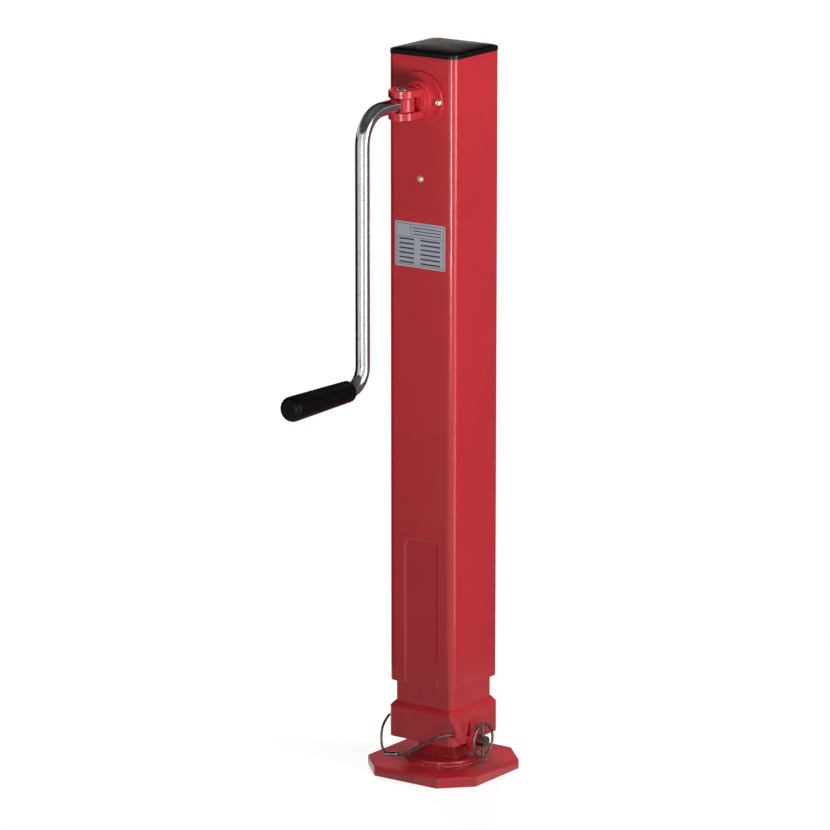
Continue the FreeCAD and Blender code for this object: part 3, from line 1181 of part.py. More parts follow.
def make_foot():
    """Eight-sided foot plate, the round pad on it, and the tongue that hangs on the foot pin."""
    plate = new_body("foot_plate")
    square = new_sketch(plate, "outline", "XY_Plane")
    side, cut = "dims.plate_width / 2", "(dims.plate_width / 2 - dims.plate_cut)"
    outline(square, [
        (f"-{cut}", f"-{side}"), (cut, f"-{side}"), (side, f"-{cut}"), (side, cut),
        (cut, side), (f"-{cut}", side), (f"-{side}", cut), (f"-{side}", f"-{cut}"),
    ])
    pad(plate, square, "slab", "dims.plate_thickness")
    half_way = number("dims.plate_thickness / 2")
    fillet(plate, "edge", "dims.plate_edge", lambda edge: edge.BoundBox.ZMin > half_way)
    keep("foot_plate", plate)
    disc = turned("foot_disc", "z", [
        ("0", "dims.plate_thickness"), ("dims.disc_radius", "dims.plate_thickness"),
        ("dims.disc_radius", DISC_TOP), ("0", DISC_TOP),
    ])
    half_up = number("dims.plate_thickness + dims.disc_height / 2")
    fillet(disc, "rim", "dims.disc_round", lambda edge: edge.BoundBox.ZMin > half_up)
    count = int(number("dims.hole_count"))
    places = []
    for index in range(count):
        turn = f"({360 * index / count} deg + dims.hole_angle * 1 deg)"
        across, up = f"{HOLE_CIRCLE} * cos({turn})", f"{HOLE_CIRCLE} * sin({turn})"
        places.append((across, up, "dims.hole_radius"))
    drill(disc, "holes", "XY_Plane", DISC_TOP, places, "dims.hole_depth")
    keep("foot_disc", disc)
    tongue = new_body("foot_tongue")
    upright = new_sketch(tongue, "outline", "YZ_Plane")
    tombstone(upright, "dims.tongue_depth / 2", DISC_TOP, PIN_Z)
    pad(tongue, upright, "block", "dims.tongue_width", middle=True)
    doc.recompute()
    drill(tongue, "pin_bore", "YZ_Plane", "0", [("0", PIN_Z, "(dims.foot_pin_radius + dims.running_gap)")],
          f"{CUT_SHARE} * dims.tongue_width", middle=True)
    keep("foot_tongue", tongue)


def check_and_write():
    """Stops on any failed object or shape, then writes one file per sub-part."""
    doc.recompute()
    for thing in doc.Objects:
        if "Invalid" in thing.State or "Error" in thing.State:
            raise RuntimeError(f"{thing.Name} failed: {thing.State}")
    for name, thing in nodes.items():
        if thing.Shape.isNull() or not thing.Shape.isValid() or not thing.Shape.Solids:
            raise RuntimeError(f"{name} has no valid solid")
    os.makedirs("parts", exist_ok=True)
    for name, thing in nodes.items():
        thing.Shape.exportStep(f"parts/{name}.step")
        print(name, len(thing.Shape.Solids), round(thing.Shape.Volume))


make_outer_tube()
make_top_cap()
make_guides()
make_shaft_bearings()
make_screws()
make_drive_shaft()
make_knuckle()
make_crank()
make_gears()
make_spindle()
make_thrust_bearing()
make_bearing_plate()
make_leg()
make_collar()
make_foot_pin()
make_keeper()
make_wire()
make_foot()
check_and_write()
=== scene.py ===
import json
import math

import bmesh
import bpy
from bpy.props import FloatProperty, FloatVectorProperty, IntProperty, PointerProperty
from mathutils import Matrix, Vector


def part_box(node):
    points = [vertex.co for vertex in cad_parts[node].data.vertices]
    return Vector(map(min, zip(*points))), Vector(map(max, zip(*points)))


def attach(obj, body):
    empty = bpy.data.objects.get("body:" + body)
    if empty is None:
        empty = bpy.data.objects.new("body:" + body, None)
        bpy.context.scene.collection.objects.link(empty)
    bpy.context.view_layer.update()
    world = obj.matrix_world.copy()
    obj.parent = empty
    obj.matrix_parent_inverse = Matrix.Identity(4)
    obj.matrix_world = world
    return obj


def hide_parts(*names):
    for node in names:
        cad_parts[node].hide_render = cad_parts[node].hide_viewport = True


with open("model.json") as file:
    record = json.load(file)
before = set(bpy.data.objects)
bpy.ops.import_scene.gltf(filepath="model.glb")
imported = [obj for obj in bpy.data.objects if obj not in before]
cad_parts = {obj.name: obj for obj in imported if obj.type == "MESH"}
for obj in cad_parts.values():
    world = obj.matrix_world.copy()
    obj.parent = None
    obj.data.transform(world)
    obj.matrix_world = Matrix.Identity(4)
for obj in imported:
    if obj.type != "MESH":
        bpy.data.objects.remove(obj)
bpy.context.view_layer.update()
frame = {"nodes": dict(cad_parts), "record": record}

bl_info = {
    "name": "Screw jack looks",
    "version": (1, 0, 0),
    "blender": (4, 5, 0),
    "location": "3D View > Sidebar > Screw jack",
    "description": "Finishes, small pieces and studio of a side-crank screw jack",
    "category": "Object",
}

MM = 0.001
FULL_TURN = 2 * math.pi
UP = Vector((0, 0, 1))
FORWARD = Vector((0, -1, 0))  # out of the crank's side
WELD_DISTANCE = 0.001 * MM  # points closer than this become one
FLAT_ANGLE = math.radians(0.4)  # faces that turn by less lie in one plane
SHARP_ANGLE = math.radians(25)  # edges that turn by more are sharp
SCREW_HEAD = 3.2 * MM  # height of a flange screw's head
LAMP_SPREAD = math.radians(100)

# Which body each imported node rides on, and which finish the record gives it.
BODY_OF = {node: body for body, nodes in frame["record"]["behaviour"]["bodies"].items() for node in nodes}
SLOT_OF = {part["node"]: part["material_slot"] for part in frame["record"]["subparts"]}

# Nodes that show from outside and keep their shape: each gets a copy with softened edges.
# The width of the softened edge is in millimetres.
DRESSED = {
    "outer_tube": 0.5,
    "inner_tube": 0.5,
    "foot_collar": 0.8,
    "wire_keeper": 0.5,
    "shaft_flange": 0.8,
    "drive_shaft": 1.2,
    "crank_knuckle": 0.5,
    "crank_rod": 0.5,
    "grip": 0.5,
    "foot_plate": 0.6,
    "foot_disc": 0.5,
    "foot_tongue": 0.8,
    "foot_pin": 0.6,
    "pin_spacers": 0.5,
    "linch_pin": 0.3,
    "retaining_wire": 0.2,
}

# Nodes drawn in a darker finish than their slot's own, as a painted dark reflection.
DARK_REFLECTION_LOOKS = {"linch_pin": "dark_steel"}


def linear(code):
    """Turns an sRGB hex colour into linear red, green and blue."""
    shares = [int(code[place:place + 2], 16) / 255 for place in (1, 3, 5)]
    return tuple(c / 12.92 if c <= 0.04045 else ((c + 0.055) / 1.055) ** 2.4 for c in shares)


def shaded(colour, share):
    """Makes a colour darker or lighter by a share."""
    return tuple(min(channel * share, 1.0) for channel in colour)


def per_mm(size):
    """Gives the texture scale at which a pattern repeats about every size millimetres."""
    return 1.0 / (size * MM)


def add_node(tree, kind, inputs=(), stops=(), **settings):
    """Adds a node with its settings and colour stops, and sets or links its inputs."""
    made = tree.nodes.new(kind)
    for name, value in settings.items():
        setattr(made, name, value)
    for index, (position, colour) in enumerate(stops):
        points = made.color_ramp.elements
        point = points[index] if index < len(points) else points.new(position)
        point.position = position
        point.color = (*colour, 1.0)
    for name, value in dict(inputs).items():
        if isinstance(value, bpy.types.Node):
            value = value.outputs[0]
        if isinstance(value, bpy.types.NodeSocket):
            tree.links.new(value, made.inputs[name])
        else:
            made.inputs[name].default_value = value
    return made


def red_enamel(tree, place, finishes):
    """Stoved enamel sprayed on steel: a deep even red, glossy, with the soft ripple of the spray.

    Low down the gloss is dulled by yard dust, and small chips show the dark brown primer.
    """
    drift = add_node(tree, "ShaderNodeTexNoise", {"Vector": place, "Scale": per_mm(90), "Detail": 3.0})
    paint = add_node(tree, "ShaderNodeValToRGB", {"Fac": drift}, stops=(
        (0.30, shaded(finishes.enamel, 0.93)), (0.70, shaded(finishes.enamel, 1.05))))
    height = add_node(tree, "ShaderNodeSeparateXYZ", {"Vector": place}).outputs["Z"]
    low = add_node(tree, "ShaderNodeMapRange", {
        "Value": height, "From Min": 150 * MM, "From Max": 10 * MM, "To Max": 0.5})
    cloud = add_node(tree, "ShaderNodeTexNoise", {"Vector": place, "Scale": per_mm(22), "Detail": 6.0})
    dusty = add_node(tree, "ShaderNodeValToRGB", {"Fac": cloud}, stops=(
        (0.42, (0.0, 0.0, 0.0)), (0.72, (1.0, 1.0, 1.0))))
    grime = add_node(tree, "ShaderNodeMath", {0: low, 1: dusty}, operation="MULTIPLY")
    soiled = add_node(tree, "ShaderNodeMixRGB", {
        "Fac": grime, "Color1": paint, "Color2": (*shaded(finishes.enamel, 0.42), 1.0)})
    fleck = add_node(tree, "ShaderNodeTexNoise", {"Vector": place, "Scale": per_mm(3.5), "Detail": 2.0})
    chipped = add_node(tree, "ShaderNodeMapRange", {
        "Value": fleck, "From Min": 0.735, "From Max": 0.76, "To Max": 0.6})
    chips = add_node(tree, "ShaderNodeMath", {0: low, 1: chipped}, operation="MULTIPLY")
    colour = add_node(tree, "ShaderNodeMixRGB", {
        "Fac": chips, "Color1": soiled, "Color2": (*finishes.primer, 1.0)})
    gloss = add_node(tree, "ShaderNodeTexNoise", {"Vector": place, "Scale": per_mm(14), "Detail": 4.0})
    sheen = add_node(tree, "ShaderNodeMapRange", {"Value": gloss, "To Min": 0.12, "To Max": 0.20})
    rough = add_node(tree, "ShaderNodeMath", {0: grime, 1: 0.22, 2: sheen}, operation="MULTIPLY_ADD")
    ripple = add_node(tree, "ShaderNodeTexNoise", {"Vector": place, "Scale": per_mm(2.6), "Detail": 2.0})
    bump = add_node(tree, "ShaderNodeBump", {"Height": ripple, "Strength": 0.08, "Distance": 0.2 * MM})
    return {"Base Color": colour, "Roughness": rough, "Normal": bump, "Specular IOR Level": 0.42}


def black_cap_plastic(tree, place, finishes):
    """Moulded polyethylene: a half-glossy black skin with the fine grain of a spark-eroded mould."""
    # Real mould grain is near 0.2 mm; it is drawn coarser so that it shows.
    grain = add_node(tree, "ShaderNodeTexNoise", {"Vector": place, "Scale": per_mm(0.9), "Detail": 3.0})
    scuff = add_node(tree, "ShaderNodeTexNoise", {"Vector": place, "Scale": per_mm(25), "Detail": 5.0})
    colour = add_node(tree, "ShaderNodeValToRGB", {"Fac": scuff}, stops=(
        (0.35, finishes.cap_black), (0.75, shaded(finishes.cap_black, 1.7))))
    rough = add_node(tree, "ShaderNodeMapRange", {"Value": scuff, "To Min": 0.20, "To Max": 0.32})
    bump = add_node(tree, "ShaderNodeBump", {"Height": grain, "Strength": 0.15, "Distance": 0.1 * MM})
    return {"Base Color": colour, "Roughness": rough, "Normal": bump, "Specular IOR Level": 0.2}


def black_grip_plastic(tree, place, finishes):
    """Moulded polypropylene: smooth, deep black, with a soft gloss where hands rub it."""
    rub = add_node(tree, "ShaderNodeTexNoise", {"Vector": place, "Scale": per_mm(18), "Detail": 4.0})
    colour = add_node(tree, "ShaderNodeValToRGB", {"Fac": rub}, stops=(
        (0.35, finishes.grip_black), (0.75, shaded(finishes.grip_black, 1.6))))
    rough = add_node(tree, "ShaderNodeMapRange", {"Value": rub, "To Min": 0.30, "To Max": 0.44})
    # Real mould grain is near 0.2 mm; it is drawn coarser so that it shows.
    grain = add_node(tree, "ShaderNodeTexNoise", {"Vector": place, "Scale": per_mm(0.8), "Detail": 2.0})
    bump = add_node(tree, "ShaderNodeBump", {"Height": grain, "Strength": 0.08, "Distance": 0.08 * MM})
    return {"Base Color": colour, "Roughness": rough, "Normal": bump, "Specular IOR Level": 0.08}


def zinc_plated_steel(tree, place, finishes):
    """Bright zinc plate on drawn bar: a mirror-like grey-white metal with soft clouding and dull stains."""
    cloud = add_node(tree, "ShaderNodeTexNoise", {"Vector": place, "Scale": per_mm(30), "Detail": 4.0})
    plate = add_node(tree, "ShaderNodeValToRGB", {"Fac": cloud}, stops=(
        (0.30, shaded(finishes.zinc, 0.86)), (0.70, finishes.zinc)))
    stain = add_node(tree, "ShaderNodeTexNoise", {"Vector": place, "Scale": per_mm(6), "Detail": 6.0})
    stained = add_node(tree, "ShaderNodeMapRange", {
        "Value": stain, "From Min": 0.52, "From Max": 0.72, "To Max": 0.45})
    colour = add_node(tree, "ShaderNodeMixRGB", {
        "Fac": stained, "Color1": plate, "Color2": (*shaded(finishes.zinc, 0.45), 1.0)})
    rough = add_node(tree, "ShaderNodeMapRange", {"Value": stained, "To Min": 0.13, "To Max": 0.26})
    # Crystals of the plate are far below a tenth of a millimetre; they are drawn coarser so that they show.
    spangle = add_node(tree, "ShaderNodeTexNoise", {"Vector": place, "Scale": per_mm(1.6), "Detail": 3.0})
    bump = add_node(tree, "ShaderNodeBump", {"Height": spangle, "Strength": 0.05, "Distance": 0.1 * MM})
    return {"Base Color": colour, "Metallic": 1.0, "Roughness": rough, "Normal": bump}


def passivated_zinc(tree, place, finishes):
    """Passivated zinc on small turned pieces: cream-yellow, half bright and cloudy in patches."""
    cloud = add_node(tree, "ShaderNodeTexNoise", {"Vector": place, "Scale": per_mm(2.5), "Detail": 4.0})
    colour = add_node(tree, "ShaderNodeValToRGB", {"Fac": cloud}, stops=(
        (0.30, shaded(finishes.passivated, 0.75)), (0.70, finishes.passivated)))
    rough = add_node(tree, "ShaderNodeMapRange", {"Value": cloud, "To Min": 0.20, "To Max": 0.36})
    bump = add_node(tree, "ShaderNodeBump", {"Height": cloud, "Strength": 0.05, "Distance": 0.1 * MM})
    return {"Base Color": colour, "Metallic": 1.0, "Roughness": rough, "Normal": bump}


def dark_steel(tree, place, finishes):
    """Oiled spring steel: brown-grey and half dull, lighter where it has been rubbed."""
    rub = add_node(tree, "ShaderNodeTexNoise", {"Vector": place, "Scale": per_mm(7), "Detail": 5.0})
    colour = add_node(tree, "ShaderNodeValToRGB", {"Fac": rub}, stops=(
        (0.35, shaded(finishes.oiled_steel, 0.6)), (0.62, finishes.oiled_steel),
        (0.80, shaded(finishes.oiled_steel, 2.2))))
    rough = add_node(tree, "ShaderNodeMapRange", {"Value": rub, "To Min": 0.30, "To Max": 0.50})
    bump = add_node(tree, "ShaderNodeBump", {"Height": rub, "Strength": 0.15, "Distance": 0.1 * MM})
    return {"Base Color": colour, "Metallic": 1.0, "Roughness": rough, "Normal": bump}


def machined_steel(tree, place, finishes):
    """Turned and milled steel: grey-white with fine tool lines and a thin film of oil."""
    # Tool lines are near 0.15 mm apart; they are drawn coarser so that they show.
    lines = add_node(tree, "ShaderNodeTexWave", {
        "Vector": place, "Scale": per_mm(1.2) / FULL_TURN, "Distortion": 1.5, "Detail": 2.0},
        bands_direction="Z")
    film = add_node(tree, "ShaderNodeTexNoise", {"Vector": place, "Scale": per_mm(12), "Detail": 4.0})
    colour = add_node(tree, "ShaderNodeValToRGB", {"Fac": film}, stops=(
        (0.30, shaded(finishes.machined, 0.82)), (0.72, finishes.machined)))
    rough = add_node(tree, "ShaderNodeMapRange", {"Value": film, "To Min": 0.24, "To Max": 0.40})
    bump = add_node(tree, "ShaderNodeBump", {"Height": lines, "Strength": 0.12, "Distance": 0.05 * MM})
    return {"Base Color": colour, "Metallic": 1.0, "Roughness": rough, "Normal": bump}


def bronze(tree, place, finishes):
    """Cast and bored tin bronze: warm brown-yellow with darker tarnish in patches."""
    tarnish = add_node(tree, "ShaderNodeTexNoise", {"Vector": place, "Scale": per_mm(9), "Detail": 5.0})
    colour = add_node(tree, "ShaderNodeValToRGB", {"Fac": tarnish}, stops=(
        (0.32, shaded(finishes.bronze, 0.62)), (0.66, finishes.bronze)))
    rough = add_node(tree, "ShaderNodeMapRange", {"Value": tarnish, "To Min": 0.28, "To Max": 0.46})
    bump = add_node(tree, "ShaderNodeBump", {"Height": tarnish, "Strength": 0.12, "Distance": 0.1 * MM})
    return {"Base Color": colour, "Metallic": 1.0, "Roughness": rough, "Normal": bump}


def glide_plastic(tree, place, finishes):
    """Moulded acetal: milky white and waxy, with faint grey rub marks."""
    rub = add_node(tree, "ShaderNodeTexNoise", {"Vector": place, "Scale": per_mm(11), "Detail": 5.0})
    colour = add_node(tree, "ShaderNodeValToRGB", {"Fac": rub}, stops=(
        (0.30, shaded(finishes.acetal, 0.80)), (0.60, finishes.acetal)))
    rough = add_node(tree, "ShaderNodeMapRange", {"Value": rub, "To Min": 0.35, "To Max": 0.52})
    bump = add_node(tree, "ShaderNodeBump", {"Height": rub, "Strength": 0.08, "Distance": 0.1 * MM})
    return {"Base Color": colour, "Roughness": rough, "Normal": bump}


def silver_foil(tree, place, finishes):
    """Brushed aluminium foil: pale grey, with fine lines along its length and a dull lacquer over them."""
    # Real brush lines are near 0.1 mm; they are drawn coarser so that they show.
    stretched = add_node(tree, "ShaderNodeMapping", {"Vector": place, "Scale": (0.04, 1.0, 1.0)})
    brush = add_node(tree, "ShaderNodeTexNoise", {"Vector": stretched, "Scale": per_mm(0.7), "Detail": 3.0})
    colour = add_node(tree, "ShaderNodeValToRGB", {"Fac": brush}, stops=(
        (0.30, shaded(finishes.foil, 0.86)), (0.70, shaded(finishes.foil, 1.08))))
    rough = add_node(tree, "ShaderNodeMapRange", {"Value": brush, "To Min": 0.38, "To Max": 0.52})
    bump = add_node(tree, "ShaderNodeBump", {"Height": brush, "Strength": 0.08, "Distance": 0.05 * MM})
    return {"Base Color": colour, "Metallic": 0.35, "Roughness": rough, "Normal": bump}


def plate_ink(tree, place, finishes):
    """Printed ink on the foil: a thin grey-black film, a little uneven in its cover."""
    cover = add_node(tree, "ShaderNodeTexNoise", {"Vector": place, "Scale": per_mm(1.5), "Detail": 4.0})
    colour = add_node(tree, "ShaderNodeValToRGB", {"Fac": cover}, stops=(
        (0.35, finishes.ink), (0.80, shaded(finishes.ink, 2.0))))
    rough = add_node(tree, "ShaderNodeMapRange", {"Value": cover, "To Min": 0.45, "To Max": 0.60})
    return {"Base Color": colour, "Roughness": rough}


FINISHES = {make.__name__: make for make in (
    red_enamel, black_cap_plastic, black_grip_plastic, zinc_plated_steel, passivated_zinc, dark_steel,
    machined_steel, bronze, glide_plastic, silver_foil, plate_ink)}


def new_material(title):
    """Gives a new material, its emptied tree of nodes and the place that its patterns read."""
    material = bpy.data.materials.new(title)
    material.use_nodes = True
    tree = material.node_tree
    tree.nodes.clear()
    return material, tree, add_node(tree, "ShaderNodeTexCoord").outputs["Object"]


def finish(name):
    """Gives the material of a finish, and makes it the first time."""
    title = f"{name}_finish"
    material = bpy.data.materials.get(title)
    if material is None:
        material, tree, place = new_material(title)
        inputs = FINISHES[name](tree, place, bpy.context.scene.jack_finishes)
        shader = add_node(tree, "ShaderNodeBsdfPrincipled", inputs)
        add_node(tree, "ShaderNodeOutputMaterial", {"Surface": shader})
    return material


class JackFinishes(bpy.types.PropertyGroup):
    """Colours of the jack's finishes."""

    enamel: FloatVectorProperty(
        name="Enamel", description="Red of the painted steel", subtype="COLOR", default=linear("#C22D35"))
    primer: FloatVectorProperty(
        name="Primer", description="Dark brown primer under the enamel", subtype="COLOR",
        default=linear("#3A2A28"))
    cap_black: FloatVectorProperty(
        name="Cap", description="Black of the top cap", subtype="COLOR", default=linear("#080706"))
    grip_black: FloatVectorProperty(
        name="Grip", description="Black of the crank's grip", subtype="COLOR", default=linear("#020202"))
    zinc: FloatVectorProperty(
        name="Zinc plate", description="Crank rod, fold pin and wire sleeve", subtype="COLOR",
        default=linear("#C4C2C5"))
    passivated: FloatVectorProperty(
        name="Passivated zinc", description="Flange screws and grease nipple", subtype="COLOR",
        default=linear("#F2DFC4"))
    oiled_steel: FloatVectorProperty(
        name="Oiled steel", description="Foot pin, linch pin and retaining wire", subtype="COLOR",
        default=linear("#756B64"))
    machined: FloatVectorProperty(
        name="Machined steel", description="Spindle, gears and bearing", subtype="COLOR",
        default=linear("#BDBBB8"))
    bronze: FloatVectorProperty(
        name="Bronze", description="Bushes and spindle nut", subtype="COLOR", default=linear("#B88B52"))
    acetal: FloatVectorProperty(
        name="Glides", description="Glide strips and guides", subtype="COLOR", default=linear("#E6E2D8"))
    foil: FloatVectorProperty(
        name="Foil", description="Silver of the rating plate", subtype="COLOR", default=linear("#B2B5BE"))
    ink: FloatVectorProperty(
        name="Ink", description="Ruled lines on the rating plate", subtype="COLOR",
        default=linear("#1E1F26"))


class JackPieces(bpy.types.PropertyGroup):
    """Sizes of the small pieces."""

    plate_width: FloatProperty(
        name="Rating plate width", description="Width of the silver plate", unit="LENGTH", default=68 * MM)
    plate_height: FloatProperty(
        name="Rating plate height", description="Height of the silver plate", unit="LENGTH",
        default=51 * MM)
    plate_middle: FloatProperty(
        name="Rating plate middle", description="Height of the plate's middle above the ground",
        unit="LENGTH", default=614.5 * MM)
    plate_rows: IntProperty(name="Rating plate rows", description="Ruled rows under the heading", default=6)
    cap_rise: FloatProperty(
        name="Cap rise", description="Rise of the cap's dome over its rim", unit="LENGTH", default=3 * MM)
    socket_width: FloatProperty(
        name="Screw socket", description="Hexagon socket of the flange screws, across its corners",
        unit="LENGTH", default=3.4 * MM)
    weld_size: FloatProperty(
        name="Weld size", description="Radius of a weld's ripples", unit="LENGTH", default=2.6 * MM)
    thread_pitch: FloatProperty(
        name="Thread pitch", description="Lift of the spindle's thread in one turn", unit="LENGTH",
        default=6 * MM)


class JackStudio(bpy.types.PropertyGroup):
    """Camera and lights around the jack."""

    azimuth: FloatProperty(
        name="Azimuth", description="Camera's turn to the right from the crank's side", subtype="ANGLE",
        default=math.radians(35.31))
    elevation: FloatProperty(
        name="Elevation", description="Camera's height as an angle", subtype="ANGLE",
        default=math.radians(13.5))
    distance: FloatProperty(
        name="Distance", description="From the camera to the jack's axis", unit="LENGTH", default=6.0)
    lens: FloatProperty(
        name="Lens", description="Focal length in millimetres on a 36 mm frame", default=231.4)
    aim_side: FloatProperty(
        name="Aim to the side", description="How far right of the jack's axis the camera aims",
        unit="LENGTH", default=-32.3 * MM)
    aim_height: FloatProperty(
        name="Aim height", description="Height that the camera aims at", unit="LENGTH", default=412.7 * MM)
    ambient: FloatProperty(name="Ambient", description="Even light from all around", default=0.16)
    key_power: FloatProperty(
        name="Key light", description="Power of the right light", unit="POWER", default=7.75)
    front_power: FloatProperty(
        name="Front light", description="Power of the low front light", unit="POWER", default=3.4)
    top_power: FloatProperty(
        name="Top light", description="Power of the light overhead", unit="POWER", default=4.6)
    back_power: FloatProperty(
        name="Back light", description="Power of the light behind", unit="POWER", default=9.0)
    strip_strength: FloatProperty(
        name="Strips", description="Strength of the strips that draw the lines on the corners", default=5.0)


def link(name, data):
    """Makes an object of its data and puts it in the scene."""
    thing = bpy.data.objects.new(name, data)
    bpy.context.scene.collection.objects.link(thing)
    return thing


def to_mesh(name, shape, material):
    """Ends a bmesh as a mesh object with its material."""
    mesh = bpy.data.meshes.new(name)
    shape.to_mesh(mesh)
    shape.free()
    mesh.materials.append(material)
    return link(name, mesh)


def add_piece(name, shape, body, slot, look=None, replaced=()):
    """Ends a bmesh as a piece of the jack: it rides on a body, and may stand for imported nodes.

    Its finish is the slot's own, unless it is given another look.
    """
    piece = to_mesh(name, shape, finish(look or slot))
    piece.data.shade_smooth()
    piece.data.set_sharp_from_angle(angle=SHARP_ANGLE)
    even = piece.modifiers.new("even_shading", "WEIGHTED_NORMAL")
    even.keep_sharp = True
    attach(piece, body)
    if replaced:
        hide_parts(*replaced)


def turn_profile(shape, corners, steps=48):
    """Spins corners given as (radius, height) about the Z axis into a closed turned shape."""
    verts = [shape.verts.new((radius, 0, height)) for radius, height in corners]
    edges = [shape.edges.new(pair) for pair in zip(verts, verts[1:])]
    bmesh.ops.spin(shape, geom=verts + edges, cent=(0, 0, 0), axis=UP, angle=FULL_TURN, steps=steps,
                   use_merge=True)
    bmesh.ops.remove_doubles(shape, verts=shape.verts, dist=WELD_DISTANCE)
    bmesh.ops.recalc_face_normals(shape, faces=shape.faces)


def stand_out(shape, place):
    """Lays a shape that was made upright out of the crank's side, with its foot at a place."""
    turn = UP.rotation_difference(FORWARD).to_matrix().to_4x4()
    bmesh.ops.transform(shape, matrix=Matrix.Translation(place) @ turn, verts=shape.verts)


def middle_of(node):
    """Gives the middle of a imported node's box."""
    low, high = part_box(node)
    return (Vector(low) + Vector(high)) / 2


class JACK_OT_finishes(bpy.types.Operator):
    """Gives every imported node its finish."""

    bl_idname = "jack.finishes"
    bl_label = "Finishes"

    def execute(self, context):
        for node, slot in SLOT_OF.items():
            mesh = frame["nodes"][node].data
            mesh.materials.clear()
            mesh.materials.append(finish(slot))
        return {"FINISHED"}


class JACK_OT_dressed_parts(bpy.types.Operator):
    """Puts a copy with softened edges and even shading in the place of each part that shows."""

    bl_idname = "jack.dressed_parts"
    bl_label = "Dressed parts"

    def execute(self, context):
        for node, width in DRESSED.items():
            shape = bmesh.new()
            shape.from_mesh(frame["nodes"][node].data)
            bmesh.ops.remove_doubles(shape, verts=shape.verts, dist=WELD_DISTANCE)
            bmesh.ops.dissolve_limit(shape, angle_limit=FLAT_ANGLE, verts=shape.verts, edges=shape.edges)
            sharp = [edge for edge in shape.edges
                     if edge.is_manifold and edge.calc_face_angle() > SHARP_ANGLE]
            if not sharp:
                raise RuntimeError(f"{node} has no edge to soften")
            bmesh.ops.bevel(shape, geom=sharp, offset=width * MM, offset_type="OFFSET", affect="EDGES",
                            segments=2, profile=0.5, material=-1, clamp_overlap=True)
            # A darker finish on these nodes paints the dark reflection that they show.
            look = DARK_REFLECTION_LOOKS.get(node, SLOT_OF[node])
            add_piece(f"{node}_dressed", shape, BODY_OF[node], SLOT_OF[node], look, (node,))
        return {"FINISHED"}


class JACK_OT_top_cap(bpy.types.Operator):
    """Builds the push-in cap: a rounded rim, a low dome and a hollow plug."""

    bl_idname = "jack.top_cap"
    bl_label = "Top cap"

    def execute(self, context):
        low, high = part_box("top_cap")
        tube_half, _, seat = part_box("outer_tube")[1]
        rise = context.scene.jack_pieces.cap_rise
        half, rim = high[0], high[2] - rise
        corner, segments = 9.6 * MM, 40
        # A circle turned by half a segment has the same points in each quarter.
        start = Matrix.Translation((0, 0, seat)) @ Matrix.Rotation(FULL_TURN / segments / 2, 4, UP)
        shape = bmesh.new()
        made = bmesh.ops.create_circle(shape, cap_ends=True, segments=segments, radius=corner, matrix=start)
        for vert in made["verts"]:
            spread = [math.copysign(half - corner, place) for place in vert.co.xy]
            bmesh.ops.translate(shape, vec=(*spread, 0), verts=[vert])
        under = made["verts"][0].link_faces[0]
        # Each step is the loop's share of the cap's width and its height.
        shoulder, steps = 0.955, 8
        dome = [(1.0, rim - 1.2 * MM), (0.994, rim - 0.4 * MM), (0.98, rim), (shoulder, rim + 0.1 * MM)]
        # The last loop stops short of a quarter turn, so that it keeps a small width.
        short_quarter = 1.52
        for step in range(1, steps + 1):
            share = step / steps
            width = shoulder * math.cos(share * short_quarter)
            dome.append((width, rim + rise * math.sin(share * math.pi / 2)))
        self.grow(shape, under, dome)
        tube_wall_and_gap, plug_wall, skin = 3.3 * MM, 2.5 * MM, 1 * MM
        inside = (tube_half - tube_wall_and_gap) / half
        hollow = inside - plug_wall / half
        plug = [(inside, seat), (inside, low[2]), (hollow, low[2]), (hollow, seat - skin)]
        bottom = min(shape.faces, key=lambda face: face.calc_center_median().z)
        self.grow(shape, bottom, plug)
        bmesh.ops.recalc_face_normals(shape, faces=shape.faces)
        add_piece("top_cap_moulded", shape, BODY_OF["top_cap"], "black_cap_plastic", replaced=("top_cap",))
        return {"FINISHED"}

    def grow(self, shape, face, steps):
        """Extrudes a face through steps of (share of the width, height).

        A loose face stays behind as the underside.
        """
        width = 1.0
        for share, height in steps:
            level = face.verts[0].co.z
            made = bmesh.ops.extrude_face_region(shape, geom=[face, *face.edges])
            face = next(part for part in made["geom"] if isinstance(part, bmesh.types.BMFace))
            verts = list(face.verts)
            bmesh.ops.scale(shape, vec=(share / width, share / width, 1.0), verts=verts)
            bmesh.ops.translate(shape, vec=(0, 0, height - level), verts=verts)
            width = share


